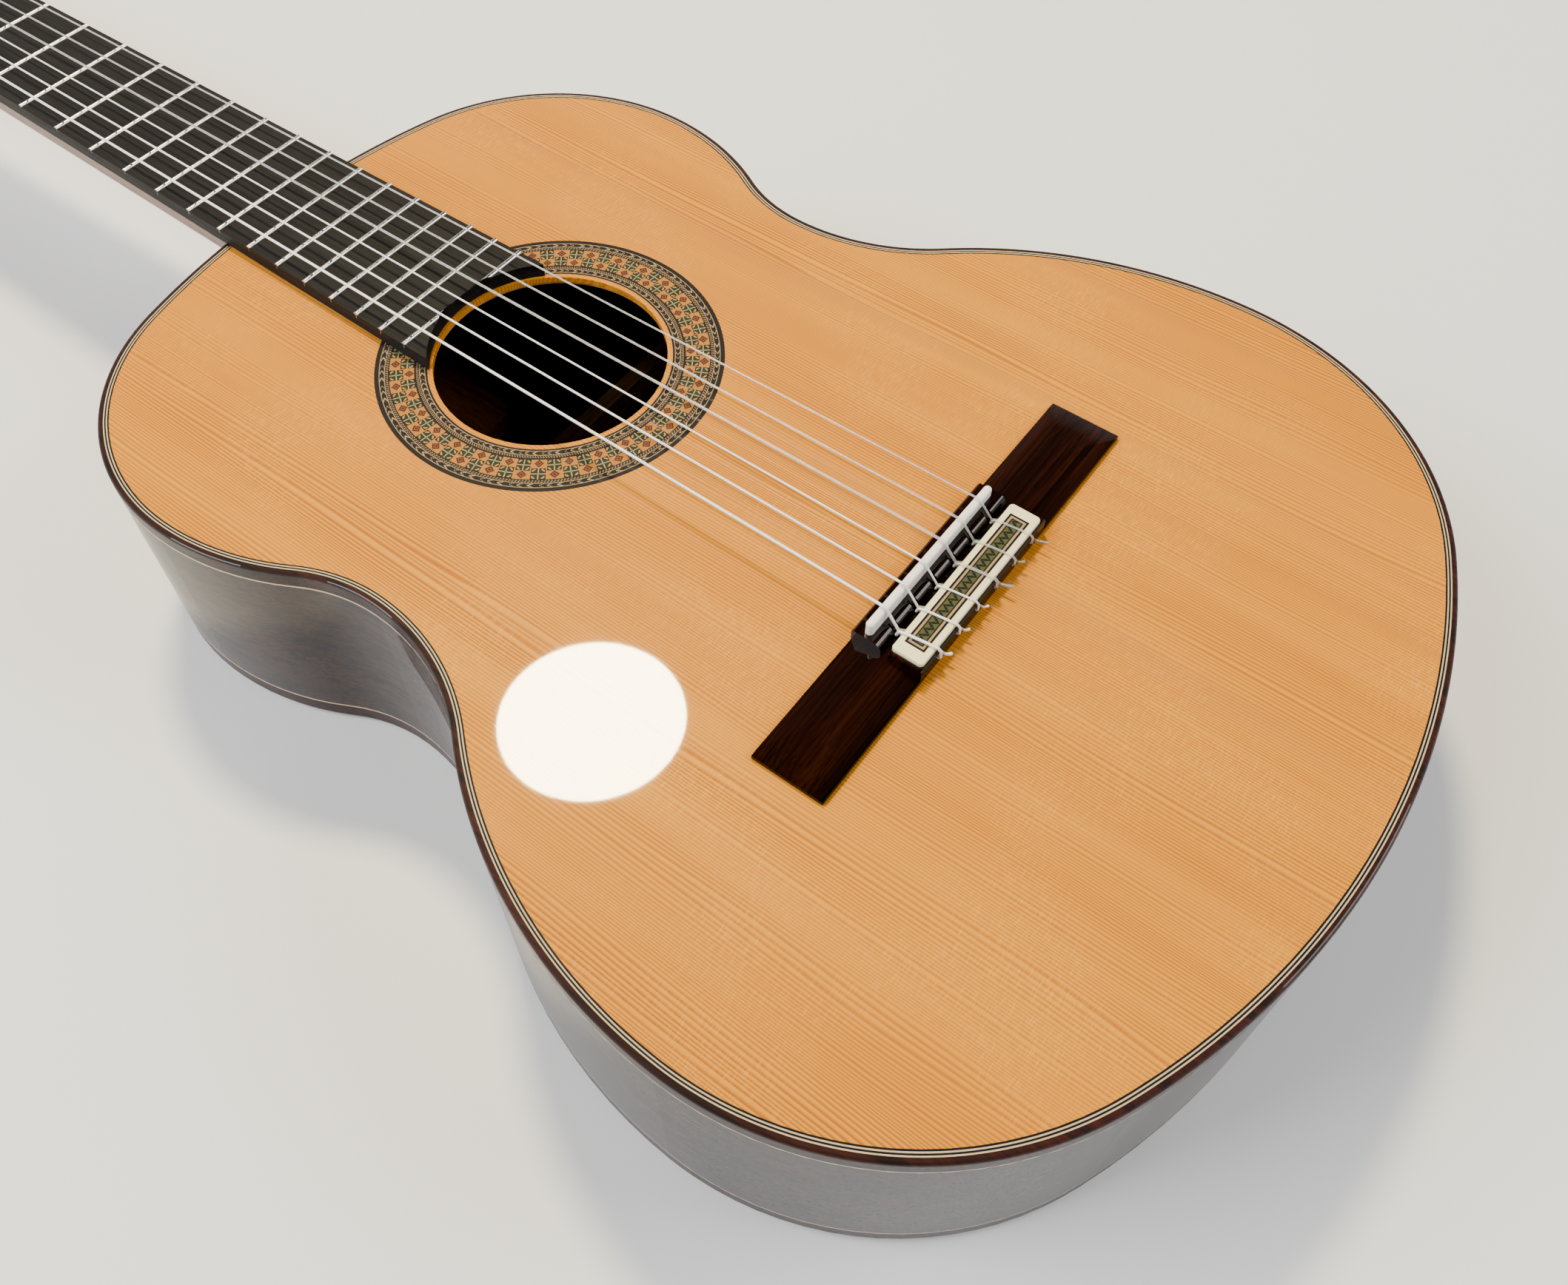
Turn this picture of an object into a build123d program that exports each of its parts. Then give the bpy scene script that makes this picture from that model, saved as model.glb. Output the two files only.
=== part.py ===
from build123d import *

import os
from math import atan2, cos, degrees, pi, radians, sin, sqrt

# A classical guitar lying on its back, in millimetres.
# +Z points out of the soundboard, +Y from the tail to the head, +X to the treble side.
# The origin is under the middle of the whole instrument, on the surface it lies on.

os.makedirs("parts", exist_ok=True)

# ------------------------------------------------------------------ driving sizes
scale_length = 650.0
fret_count = 19
joint_fret = 12
head_tilt = 15.0
head_length = 190.0
nut_thickness = 5.0

# Body outline: half widths, and distances down from the nut.
lower_half = 186.5
waist_half = 122.5
upper_half = 145.5
lower_drop = 682.0
waist_drop = 508.0
upper_drop = 422.0
body_length = 492.0
tail_corner_radius = 121.0
lower_bout_radius = 181.0
upper_bout_radius = 108.0
shoulder_radius = 90.0

# Body shell.
body_depth = 96.0
dome_radius = 5000.0
top_thickness = 2.5
back_thickness = 2.8
side_thickness = 2.2
binding_height = 6.5
line_height = 0.8
purfling_width = 2.1
purfling_depth = 1.5
lining_width = 6.0
lining_height = 14.0

# Soundhole and rosette.
hole_drop = 478.0
hole_radius = 45.0
rosette_radii = (47.0, 51.5, 61.5, 67.0)
rosette_depth = 1.2

# Fingerboard, frets and neck.
board_thickness = 6.0
nut_half = 26.0
joint_half = 31.0
board_end_radius = 46.2
fret_height = 1.0
fret_width = 2.2
tang_width = 0.6
tang_depth = 2.0
neck_depth = 17.0
neck_blank = 19.0
plank_thickness = 17.0
veneer_thickness = 2.5

# Strings, from the sixth (bass side) to the first.
string_radii = (0.55, 0.45, 0.38, 0.51, 0.41, 0.36)
nut_spacing = 8.6
bridge_spacing = 11.6
nut_action = 7.9

# Bridge.
bridge_half = 93.0
bridge_front_drop = 645.3
bridge_width = 27.3
block_half = 39.0
saddle_drop = 650.5
saddle_thickness = 3.0
saddle_half = 37.5
tie_front_drop = 659.6
tie_height = 7.0
tie_hole_height = 4.2

# Tuning machines.
roller_radius = 4.93
roller_hole_radius = 5.0
roller_reach = 57.0
roller_pitch = 35.0
roller_depth = 7.25
head_half = 36.0
slot_inner = 7.0
slot_outer = 23.0
plate_thickness = 2.0
wheel_teeth = 14
wheel_module = 0.8
wheel_thickness = 3.2
worm_radius = 2.8
shaft_radius = 1.5
running_gap = 0.06

# ------------------------------------------------------------------ derived places


def fret_distance(number):
    """Distance of a fret from the front of the nut."""
    return scale_length * (1 - 2 ** (-number / 12))


joint_drop = fret_distance(joint_fret)
tail_drop = joint_drop + body_length
head_reach = nut_thickness + head_length * cos(radians(head_tilt))
nut_y = (tail_drop - head_reach) / 2


def down(drop):
    """Y of a place at that distance from the nut towards the tail."""
    return nut_y - drop


top_z = body_depth
under_top = top_z - top_thickness
joint_y = down(joint_drop)
tail_y = down(tail_drop)
hole_y = down(hole_drop)
dome_y = (joint_y + tail_y) / 2
board_top = top_z + board_thickness
heel_base = dome_radius - sqrt(dome_radius**2 - (joint_y - dome_y) ** 2)
edge_width = side_thickness + purfling_width
lining_edge = side_thickness + lining_width
line_top = top_z - binding_height
side_top = line_top - line_height
wheel_radius = wheel_module * wheel_teeth / 2
worm_lead = pi * wheel_module
centre_distance = wheel_radius + worm_radius


def board_half(y):
    """Half width of the fingerboard, which widens evenly towards the body."""
    return nut_half + (joint_half - nut_half) * (nut_y - y) / joint_drop


# ------------------------------------------------------------------ body outline


def crown_radius(side, rise, corner):
    """Radius of an end arc, centred on the axis, tangent inside to a corner arc."""
    return (side**2 + rise**2 - corner**2) / (2 * (rise - corner))


def waist_radius(half, y, radius):
    """Radius of the waist arc that meets the bout arc of that half width and radius."""
    side = half - radius - waist_half
    rise = y - down(waist_drop)
    return (side**2 + rise**2 - radius**2) / (2 * (radius + side))


lower_y = down(lower_drop)
upper_y = down(upper_drop)
waist_y = down(waist_drop)
tail_radius = crown_radius(lower_half - tail_corner_radius, lower_y - tail_y, tail_corner_radius)
top_radius = crown_radius(upper_half - shoulder_radius, joint_y - upper_y, shoulder_radius)
lower_waist = waist_radius(lower_half, lower_y, lower_bout_radius)
upper_waist = waist_radius(upper_half, upper_y, upper_bout_radius)

# Each arc: centre x and y, and its radius, negative where the outline curves inwards.
outline_arcs = [
    (0, tail_y + tail_radius, tail_radius),
    (lower_half - tail_corner_radius, lower_y, tail_corner_radius),
    (lower_half - lower_bout_radius, lower_y, lower_bout_radius),
    (waist_half + lower_waist, waist_y, -lower_waist),
    (waist_half + upper_waist, waist_y, -upper_waist),
    (upper_half - upper_bout_radius, upper_y, upper_bout_radius),
    (upper_half - shoulder_radius, upper_y, shoulder_radius),
    (0, joint_y - top_radius, top_radius),
]


def bearing(first, second):
    """Angle of the line from one arc's centre to another's."""
    return atan2(second[1] - first[1], second[0] - first[0])


# The outward direction at each end of the arcs.
outline_turns = [
    -pi / 2,
    bearing(outline_arcs[0], outline_arcs[1]),
    0,
    bearing(outline_arcs[2], outline_arcs[3]),
    0,
    bearing(outline_arcs[5], outline_arcs[4]),
    0,
    bearing(outline_arcs[7], outline_arcs[6]),
    pi / 2,
]


def outline_point(arc, turn, inset):
    """Point of the outline on an arc, where it faces that way, moved in by inset."""
    reach = arc[2] - inset
    return (arc[0] + reach * cos(turn), arc[1] + reach * sin(turn))


def outline(inset=0.0):
    """Sketch of everything inside the body outline moved in by inset."""
    with BuildSketch() as plan:
        with BuildLine():
            for arc, start, end in zip(outline_arcs, outline_turns, outline_turns[1:]):
                turns = (start, (start + end) / 2, end)
                ThreePointArc(*[outline_point(arc, turn, inset) for turn in turns])
            mirror(about=Plane.YZ)
        make_face()
    return plan.sketch


full_plan = outline()
inside_binding = outline(side_thickness)
inside_purfling = outline(edge_width)
inside_lining = outline(lining_edge)
ring_plan = full_plan - inside_binding


cutter_turn = 3.0
cutter_reach = body_length / 2 + 40


def beyond_back(rise, far_z):
    """Block between the back's outer surface, raised by rise, and the level far_z."""
    sag = dome_radius - sqrt(dome_radius**2 - cutter_reach**2)
    with BuildPart() as block:
        with BuildSketch(Plane.YZ):
            with BuildLine():
                left = (dome_y - cutter_reach, rise + sag)
                right = (dome_y + cutter_reach, rise + sag)
                ThreePointArc(left, (dome_y, rise), right)
                Polyline(right, (right[0], far_z), (left[0], far_z), left)
            make_face()
        centre = (0, dome_y, dome_radius + rise)
        revolve(axis=Axis(centre, (0, 1, 0)), revolution_arc=cutter_turn)
        mirror(about=Plane.YZ)
    return block.part


cutter_low = -40.0
back_reach = 40.0
cutter_high = 200.0
outside_back = beyond_back(0, cutter_low)
inside_back = beyond_back(back_thickness, cutter_high)
below_inside = beyond_back(back_thickness, cutter_low)
below_binding_top = beyond_back(binding_height, cutter_low)
above_binding_top = beyond_back(binding_height, cutter_high)
below_line = beyond_back(binding_height + line_height, cutter_low)
above_line = beyond_back(binding_height + line_height, cutter_high)


def finish(builder, name):
    """Labels a finished piece and writes it."""
    builder.part.label = name
    export_step(builder.part, f"parts/{name}.step")


def half_box(half_width, y_low, y_high, z_low, z_high):
    """Box centred on the axis between those limits."""
    middle = ((y_low + y_high) / 2, (z_low + z_high) / 2)
    sizes = (2 * half_width, y_high - y_low, z_high - z_low)
    return Pos(0, *middle) * Box(*sizes, mode=Mode.PRIVATE)


# ------------------------------------------------------------------ soundboard
neck_root_plan = Pos(0, joint_y) * Rectangle(2 * joint_half, 60)

with BuildPart() as soundboard:
    with BuildSketch(Plane.XY.offset(under_top)):
        add(inside_binding)
        add(full_plan & neck_root_plan)
    extrude(amount=top_thickness)
    with BuildSketch(Plane.XY.offset(top_z)):
        add(inside_binding - inside_purfling - neck_root_plan)
    extrude(amount=-purfling_depth, mode=Mode.SUBTRACT)
    with Locations((0, hole_y, under_top)):
        Cylinder(
            hole_radius,
            top_thickness,
            align=(Align.CENTER, Align.CENTER, Align.MIN),
            mode=Mode.SUBTRACT,
        )
    with BuildSketch(Plane.XY.offset(top_z)):
        with Locations((0, hole_y)):
            Circle(rosette_radii[-1])
            Circle(rosette_radii[0], mode=Mode.SUBTRACT)
    extrude(amount=-rosette_depth, mode=Mode.SUBTRACT)
    split(bisect_by=Plane.YZ, keep=Keep.BOTH)
finish(soundboard, "soundboard")

ring_names = ("rosette_inner_border", "rosette_mosaic", "rosette_outer_border")
for name, inner, outer in zip(ring_names, rosette_radii, rosette_radii[1:]):
    with BuildPart() as rosette_ring:
        with BuildSketch(Plane.XY.offset(top_z)):
            with Locations((0, hole_y)):
                Circle(outer)
                Circle(inner, mode=Mode.SUBTRACT)
        extrude(amount=-rosette_depth)
    finish(rosette_ring, name)

patch_width = 16.0
patch_thickness = 1.2
with BuildPart() as soundhole_patch:
    with BuildSketch(Plane.XY.offset(under_top)):
        with Locations((0, hole_y)):
            Circle(hole_radius + patch_width)
            Circle(hole_radius + 0.5, mode=Mode.SUBTRACT)
    extrude(amount=-patch_thickness)
finish(soundhole_patch, "soundhole_patch")

# ------------------------------------------------------------------ braces
bar_width = 6.0
bar_height = 17.0
bar_offset = hole_radius + patch_width + bar_width / 2
upper_bar_y = hole_y + bar_offset
lower_bar_y = hole_y - bar_offset
block_depth = 27.0
tail_block_half = 38.0
tail_block_depth = 15.0

with BuildPart() as harmonic_bars:
    with BuildSketch(Plane.XY.offset(under_top)):
        with Locations((0, upper_bar_y), (0, lower_bar_y)):
            Rectangle(2 * upper_half, bar_width)
        add(inside_lining, mode=Mode.INTERSECT)
    extrude(amount=-bar_height)
    chamfer(harmonic_bars.edges().filter_by(Axis.X).group_by(Axis.Z)[0], length=1.8)
finish(harmonic_bars, "harmonic_bars")

strut_width = 5.0
strut_height = 4.5
fan_origin_drop = 330.0
fan_turns = (-21, -14, -7, 0, 7, 14, 21)
closing_turn = 28.0
closing_length = 96.0
closing_x = 52.0
closing_y = tail_y + 45
fan_start_y = lower_bar_y - bar_width / 2
fan_end_y = tail_y + 62

with BuildPart() as fan_struts:
    with BuildSketch(Plane.XY.offset(under_top)):
        for turn in fan_turns:
            with Locations(Location((0, down(fan_origin_drop)), -turn)):
                Rectangle(strut_width, 2 * body_length)
        with Locations((0, (fan_start_y + fan_end_y) / 2)):
            Rectangle(2 * lower_half, fan_start_y - fan_end_y, mode=Mode.INTERSECT)
        add(outline(lining_edge + 22), mode=Mode.INTERSECT)
    extrude(amount=-strut_height)
    for side in (-1, 1):
        with BuildSketch(Plane.XY.offset(under_top)):
            with Locations(Location((side * closing_x, closing_y), side * closing_turn)):
                Rectangle(closing_length, strut_width)
        extrude(amount=-strut_height)
finish(fan_struts, "fan_struts")

# ------------------------------------------------------------------ back
with BuildPart() as back_plate:
    with BuildSketch():
        add(inside_binding)
    extrude(amount=back_reach)
    add(outside_back, mode=Mode.SUBTRACT)
    add(inside_back, mode=Mode.SUBTRACT)
    split(bisect_by=Plane.YZ, keep=Keep.BOTH)
finish(back_plate, "back_plate")

strip_half = 8.0
strip_thickness = 2.0
tail_block_y = tail_y + side_thickness + tail_block_depth
foot_length = 99.0
foot_y = joint_y - foot_length
back_bar_drops = (456.0, 570.0, 690.0)
back_bar_width = 7.0
back_bar_height = 13.0

with BuildPart() as back_centre_strip:
    with BuildSketch():
        with Locations((0, (foot_y + tail_block_y) / 2)):
            Rectangle(2 * strip_half, foot_y - tail_block_y)
        for drop in back_bar_drops:
            with Locations((0, down(drop))):
                Rectangle(2 * strip_half, back_bar_width, mode=Mode.SUBTRACT)
    extrude(amount=back_reach)
    add(below_inside, mode=Mode.SUBTRACT)
    add(beyond_back(back_thickness + strip_thickness, cutter_high), mode=Mode.SUBTRACT)
finish(back_centre_strip, "back_centre_strip")

with BuildPart() as back_bars:
    with BuildSketch():
        for drop in back_bar_drops:
            with Locations((0, down(drop))):
                Rectangle(2 * lower_half, back_bar_width)
        add(inside_lining, mode=Mode.INTERSECT)
    extrude(amount=back_reach)
    add(below_inside, mode=Mode.SUBTRACT)
    add(beyond_back(back_thickness + back_bar_height, cutter_high), mode=Mode.SUBTRACT)
finish(back_bars, "back_bars")

# ------------------------------------------------------------------ sides, linings, edges
slot_half = 10.0
graft_half = 6.0
heel_slot = half_box(slot_half, joint_y - 20, joint_y + 1, 0, top_z)
graft_room = half_box(graft_half, tail_y - 1, tail_y + 20, 0, top_z)

with BuildPart() as rim:
    with BuildSketch():
        add(ring_plan)
    extrude(amount=side_top)
    add(below_line, mode=Mode.SUBTRACT)
    add(heel_slot, mode=Mode.SUBTRACT)
    add(graft_room, mode=Mode.SUBTRACT)

for name, keep in (("bass_side", Keep.BOTTOM), ("treble_side", Keep.TOP)):
    with BuildPart() as side_plate:
        add(rim.part)
        split(bisect_by=Plane.YZ, keep=keep)
    finish(side_plate, name)

with BuildPart() as end_graft:
    with BuildSketch():
        add(ring_plan)
    extrude(amount=side_top)
    add(below_line, mode=Mode.SUBTRACT)
    add(graft_room, mode=Mode.INTERSECT)
finish(end_graft, "end_graft")

neck_block = half_box(joint_half, joint_y - block_depth, joint_y + 1, 0, top_z)
tail_block_box = half_box(tail_block_half, tail_y, tail_block_y, 0, under_top)

with BuildPart() as top_linings:
    with BuildSketch(Plane.XY.offset(under_top)):
        add(inside_binding - inside_lining)
    extrude(amount=-lining_height)
    add(neck_block, mode=Mode.SUBTRACT)
    add(tail_block_box, mode=Mode.SUBTRACT)
finish(top_linings, "top_linings")

with BuildPart() as back_linings:
    with BuildSketch():
        add(inside_binding - inside_lining)
    extrude(amount=back_reach)
    add(below_inside, mode=Mode.SUBTRACT)
    add(beyond_back(back_thickness + lining_height, cutter_high), mode=Mode.SUBTRACT)
    add(neck_block, mode=Mode.SUBTRACT)
    add(tail_block_box, mode=Mode.SUBTRACT)
finish(back_linings, "back_linings")

with BuildPart() as tail_block:
    with BuildSketch():
        with Locations((0, tail_y + tail_block_depth / 2)):
            Rectangle(2 * tail_block_half, tail_block_depth + 2 * side_thickness)
        add(inside_binding, mode=Mode.INTERSECT)
    extrude(amount=under_top)
    add(below_inside, mode=Mode.SUBTRACT)
finish(tail_block, "tail_block")

neck_gap = half_box(joint_half, joint_y - 20, joint_y + 1, side_top, top_z)

with BuildPart() as top_binding:
    with BuildSketch(Plane.XY.offset(line_top)):
        add(ring_plan)
    extrude(amount=binding_height)
    add(neck_gap, mode=Mode.SUBTRACT)
finish(top_binding, "top_binding")

with BuildPart() as top_purfling:
    with BuildSketch(Plane.XY.offset(top_z)):
        add(inside_binding - inside_purfling - neck_root_plan)
    extrude(amount=-purfling_depth)
finish(top_purfling, "top_purfling")

with BuildPart() as lower_line:
    with BuildSketch():
        add(ring_plan)
    extrude(amount=back_reach)
    add(below_binding_top, mode=Mode.SUBTRACT)
    add(above_line, mode=Mode.SUBTRACT)

with BuildPart() as side_purfling_lines:
    with BuildSketch(Plane.XY.offset(side_top)):
        add(ring_plan)
    extrude(amount=line_height)
    add(neck_gap, mode=Mode.SUBTRACT)
    add(lower_line.part)
finish(side_purfling_lines, "side_purfling_lines")

with BuildPart() as back_binding:
    with BuildSketch():
        add(ring_plan)
    extrude(amount=back_reach)
    add(outside_back, mode=Mode.SUBTRACT)
    add(above_binding_top, mode=Mode.SUBTRACT)
finish(back_binding, "back_binding")

# ------------------------------------------------------------------ neck and heel
head_plane = Plane(
    origin=(0, nut_y + nut_thickness, top_z),
    x_dir=(1, 0, 0),
    z_dir=(0, sin(radians(head_tilt)), cos(radians(head_tilt))),
)
head_cut = Plane(origin=head_plane.origin, x_dir=(1, 0, 0), z_dir=head_plane.y_dir)
head_section = Plane(origin=head_plane.origin, x_dir=(1, 0, 0), z_dir=-head_plane.y_dir)


def neck_section(y):
    """Plane across the neck, with its origin on the neck's top face."""
    return Plane(origin=(0, y, top_z), x_dir=(1, 0, 0), z_dir=(0, -1, 0))


def neck_profile(half, depth, shoulder, flat):
    """Section of the neck: flat top, short upright shoulders and a rounded belly."""
    belly = (flat + half) / 2
    waist = -shoulder - (depth - shoulder) * 0.62
    with BuildSketch() as section:
        with BuildLine():
            Polyline((-half, -shoulder), (-half, 0), (half, 0), (half, -shoulder))
            Bezier((half, -shoulder), (half, waist), (belly, -depth), (flat, -depth))
            Line((flat, -depth), (-flat, -depth))
            Bezier((-flat, -depth), (-belly, -depth), (-half, waist), (-half, -shoulder))
        make_face()
    return section.sketch


neck_shoulder = 3.0
neck_flat = 3.0
nut_end_y = nut_y + 8
nut_profile = neck_profile(board_half(nut_end_y), neck_depth, neck_shoulder, neck_flat)
body_profile = neck_profile(joint_half, neck_depth + 1.5, neck_shoulder, neck_flat)

cap_thickness = 3.0
heel_top = top_z - 6
heel_low = heel_base + cap_thickness
heel_low_half = 13.5
heel_low_length = 18.0
heel_top_length = 66.0
heel_back_y = joint_y - 3
neck_split_z = top_z - neck_blank
inner_half = 30.0
foot_half = 21.0
foot_height = 15.0
foot_corner = 9.0


def heel_plan(half, length):
    """Plan of the heel: square against the body, rounded like half an ellipse outside."""
    with BuildSketch() as plan:
        with BuildLine():
            EllipticalCenterArc((0, joint_y), half, length, start_angle=0, arc_size=180)
            Polyline((-half, joint_y), (-half, heel_back_y), (half, heel_back_y), (half, joint_y))
        make_face()
    return plan.sketch


with BuildPart() as heel_form:
    for share in (0, 0.1, 0.2, 0.35, 0.55, 0.78, 1):
        level = heel_top + (heel_low - heel_top) * share
        half = heel_low_half + (joint_half - 2 - heel_low_half) * (1 - share) ** 2.2
        length = heel_low_length + (heel_top_length - heel_low_length) * (1 - share) ** 3.2
        with BuildSketch(Plane.XY.offset(level)):
            add(heel_plan(half, length))
    loft()

inside_body = extrude(inside_binding, amount=neck_split_z)
below_split = half_box(upper_half, hole_y, nut_y, 0, neck_split_z)
above_split = half_box(upper_half, hole_y, nut_y, neck_split_z, top_z)

with BuildPart() as neck:
    with BuildSketch(neck_section(heel_back_y)):
        add(body_profile)
    with BuildSketch(neck_section(nut_end_y)):
        add(nut_profile)
    loft(ruled=True)
    split(bisect_by=head_cut, keep=Keep.BOTTOM)
    add(heel_form.part & above_split)
    add(half_box(inner_half, joint_y - block_depth, joint_y - 1, neck_split_z, under_top))
    add(soundboard.part, mode=Mode.SUBTRACT)
    add(rim.part, mode=Mode.SUBTRACT)
    add(top_binding.part, mode=Mode.SUBTRACT)
    add(side_purfling_lines.part, mode=Mode.SUBTRACT)
finish(neck, "neck")

with BuildPart() as heel:
    with BuildSketch(Plane.YZ):
        with BuildLine():
            block_y = joint_y - block_depth
            Polyline(
                (block_y, 45),
                (block_y, neck_split_z),
                (joint_y - 1, neck_split_z),
                (joint_y - 1, 0),
                (foot_y, 0),
                (foot_y, foot_height),
                (foot_y + 40, foot_height + 4),
            )
            ThreePointArc(
                (foot_y + 40, foot_height + 4),
                (block_y - 10, foot_height + 12),
                (block_y, 45),
            )
        make_face()
    extrude(amount=foot_half, both=True)
    foot_corners = heel.edges().filter_by(Axis.Z).group_by(Axis.Y)[0]
    fillet(foot_corners, radius=foot_corner)
    add(half_box(inner_half, block_y, joint_y - 1, 0, neck_split_z))
    add(inside_body, mode=Mode.INTERSECT)
    add(half_box(slot_half, joint_y - 4, joint_y, 0, neck_split_z))
    add(below_inside, mode=Mode.SUBTRACT)
    add(heel_form.part & below_split)
    add(rim.part, mode=Mode.SUBTRACT)
    add(side_purfling_lines.part, mode=Mode.SUBTRACT)
    add(back_binding.part, mode=Mode.SUBTRACT)
finish(heel, "heel")

cap_plan = heel_plan(heel_low_half, heel_low_length) - full_plan
with BuildPart() as heel_cap:
    with BuildSketch(Plane.XY.offset(heel_low)):
        add(cap_plan)
    extrude(amount=-cap_thickness)
finish(heel_cap, "heel_cap")

# ------------------------------------------------------------------ headstock
root_length = 28.0
straight_start = 40.0
lobe_reach = 164.0
lobe_half = 25.0
lobe_start = 175.0
slot_reach = (36.0, 149.0)
ramp_reach = 19.0
ramp_bottom = -5.0
bore_floor = 4.0
roller_places = [roller_reach + roller_pitch * step for step in range(3)]
screw_places = (46.0, 77.5, 112.5, 144.0)
screw_radius = 1.2
screw_length = 10.0


def head_plan(start, start_half):
    """Plan of the head from a distance behind the nut to its crest."""
    with BuildSketch() as plan:
        with BuildLine():
            Polyline((0, start), (start_half, start), (head_half, straight_start))
            Line((head_half, straight_start), (head_half, lobe_reach))
            ThreePointArc(
                (head_half, lobe_reach),
                (lobe_half + 6.5, lobe_reach + 8.5),
                (lobe_half, lobe_start),
            )
            ThreePointArc(
                (lobe_half, lobe_start), (0, head_length), (-lobe_half, lobe_start)
            )
            ThreePointArc(
                (-lobe_half, lobe_start),
                (-lobe_half - 6.5, lobe_reach + 8.5),
                (-head_half, lobe_reach),
            )
            Line((-head_half, lobe_reach), (-head_half, straight_start))
            Polyline((-head_half, straight_start), (-start_half, start), (0, start))
        make_face()
    return plan.sketch


with BuildPart() as head_cutter:
    slot_length = slot_reach[1] - slot_reach[0]
    slot_middle = (slot_reach[0] + slot_reach[1]) / 2
    slot_x = (slot_inner + slot_outer) / 2
    with BuildSketch(head_plane.offset(-plank_thickness - 5)):
        with Locations((-slot_x, slot_middle), (slot_x, slot_middle)):
            SlotOverall(slot_length, slot_outer - slot_inner, rotation=90)
    extrude(amount=plank_thickness + veneer_thickness + 10)
    for side in (-1, 1):
        ramp_plane = Plane(
            origin=head_plane.from_local_coords((side * slot_x, 0, 0)),
            x_dir=head_plane.y_dir,
            z_dir=(1, 0, 0),
        )
        with BuildSketch(ramp_plane):
            Polygon(
                (ramp_reach, veneer_thickness),
                (slot_reach[0] + 8, ramp_bottom),
                (slot_reach[0] + 8, veneer_thickness + 1),
                (ramp_reach, veneer_thickness + 1),
                align=None,
            )
        extrude(amount=(slot_outer - slot_inner) / 2, both=True)
        for place in roller_places:
            bore_plane = Plane(
                origin=head_plane.from_local_coords((side * head_half, place, -roller_depth)),
                z_dir=(-side, 0, 0),
            )
            with BuildSketch(bore_plane):
                Circle(roller_hole_radius)
            extrude(amount=head_half - bore_floor)
        for place in screw_places:
            screw_plane = Plane(
                origin=head_plane.from_local_coords((side * head_half, place, -roller_depth)),
                z_dir=(-side, 0, 0),
            )
            with BuildSketch(screw_plane):
                Circle(screw_radius)
            extrude(amount=screw_length - plate_thickness)

root_half = nut_half + (head_half - nut_half) * root_length / straight_start
with BuildPart() as headstock:
    with BuildSketch(head_section):
        add(neck_profile(board_half(nut_y + nut_thickness), plank_thickness, neck_shoulder, neck_flat))
    with BuildSketch(head_section.offset(-root_length)):
        add(neck_profile(root_half, plank_thickness, plank_thickness - 4, root_half - 4))
    loft(ruled=True)
    with BuildSketch(head_plane):
        add(head_plan(root_length, root_half))
    extrude(amount=-plank_thickness)
    add(head_cutter.part, mode=Mode.SUBTRACT)
finish(headstock, "headstock")

with BuildPart() as head_veneer:
    with BuildSketch(head_plane):
        add(head_plan(0, board_half(nut_y + nut_thickness)))
    extrude(amount=veneer_thickness)
    add(head_cutter.part, mode=Mode.SUBTRACT)
finish(head_veneer, "head_veneer")

# ------------------------------------------------------------------ fingerboard, frets, nut
board_end_drop = 445.6
board_end_y = down(board_end_drop)

with BuildPart() as fingerboard:
    with BuildSketch(Plane.XY.offset(top_z)):
        Polygon(
            (-nut_half, nut_y),
            (nut_half, nut_y),
            (board_half(board_end_y), board_end_y),
            (-board_half(board_end_y), board_end_y),
            align=None,
        )
        with Locations((0, hole_y)):
            Circle(board_end_radius, mode=Mode.SUBTRACT)
    extrude(amount=board_thickness)
    with BuildSketch(Plane.XY.offset(board_top)):
        for number in range(1, fret_count + 1):
            with Locations((0, down(fret_distance(number)))):
                Rectangle(3 * nut_half, tang_width)
    extrude(amount=-tang_depth, mode=Mode.SUBTRACT)
finish(fingerboard, "fingerboard")

with BuildPart() as frets:
    for number in range(1, fret_count + 1):
        fret_y = down(fret_distance(number))
        with BuildSketch(Plane.YZ):
            with BuildLine(Location((fret_y, board_top))):
                half_width = fret_width / 2
                half_tang = tang_width / 2
                ThreePointArc((-half_width, 0), (0, fret_height), (half_width, 0))
                Polyline(
                    (half_width, 0),
                    (half_tang, 0),
                    (half_tang, -tang_depth),
                    (-half_tang, -tang_depth),
                    (-half_tang, 0),
                    (-half_width, 0),
                )
            make_face()
        extrude(amount=board_half(fret_y) - 0.1, both=True)
    with Locations((0, hole_y, board_top)):
        Cylinder(board_end_radius + 0.1, 4 * tang_depth, mode=Mode.SUBTRACT)
finish(frets, "frets")

string_steps = [index - 2.5 for index in range(6)]
nut_height = nut_action + 0.6
notch_clearance = 0.15
notch_side = 0.45
with BuildPart() as nut:
    with BuildSketch(Plane.XY.offset(top_z)):
        with Locations((0, nut_y + nut_thickness / 2)):
            Rectangle(2 * nut_half, nut_thickness)
    extrude(amount=nut_height)
    fillet(nut.edges().filter_by(Axis.X).group_by(Axis.Z)[-1].sort_by(Axis.Y)[-1], radius=2.0)
    for step, radius in zip(string_steps, string_radii):
        with BuildSketch(Plane.YZ.offset(step * nut_spacing)):
            Polygon(
                (nut_y - 1, top_z + nut_action - notch_clearance),
                (nut_y - 1, top_z + nut_height + 1),
                (nut_y + nut_thickness + 1, top_z + nut_height + 1),
                (nut_y + nut_thickness + 1, top_z + nut_action - 2.6),
                (nut_y + 1, top_z + nut_action - 2 * notch_clearance),
                align=None,
            )
        extrude(amount=radius + notch_side, both=True, mode=Mode.SUBTRACT)
finish(nut, "nut")

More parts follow.
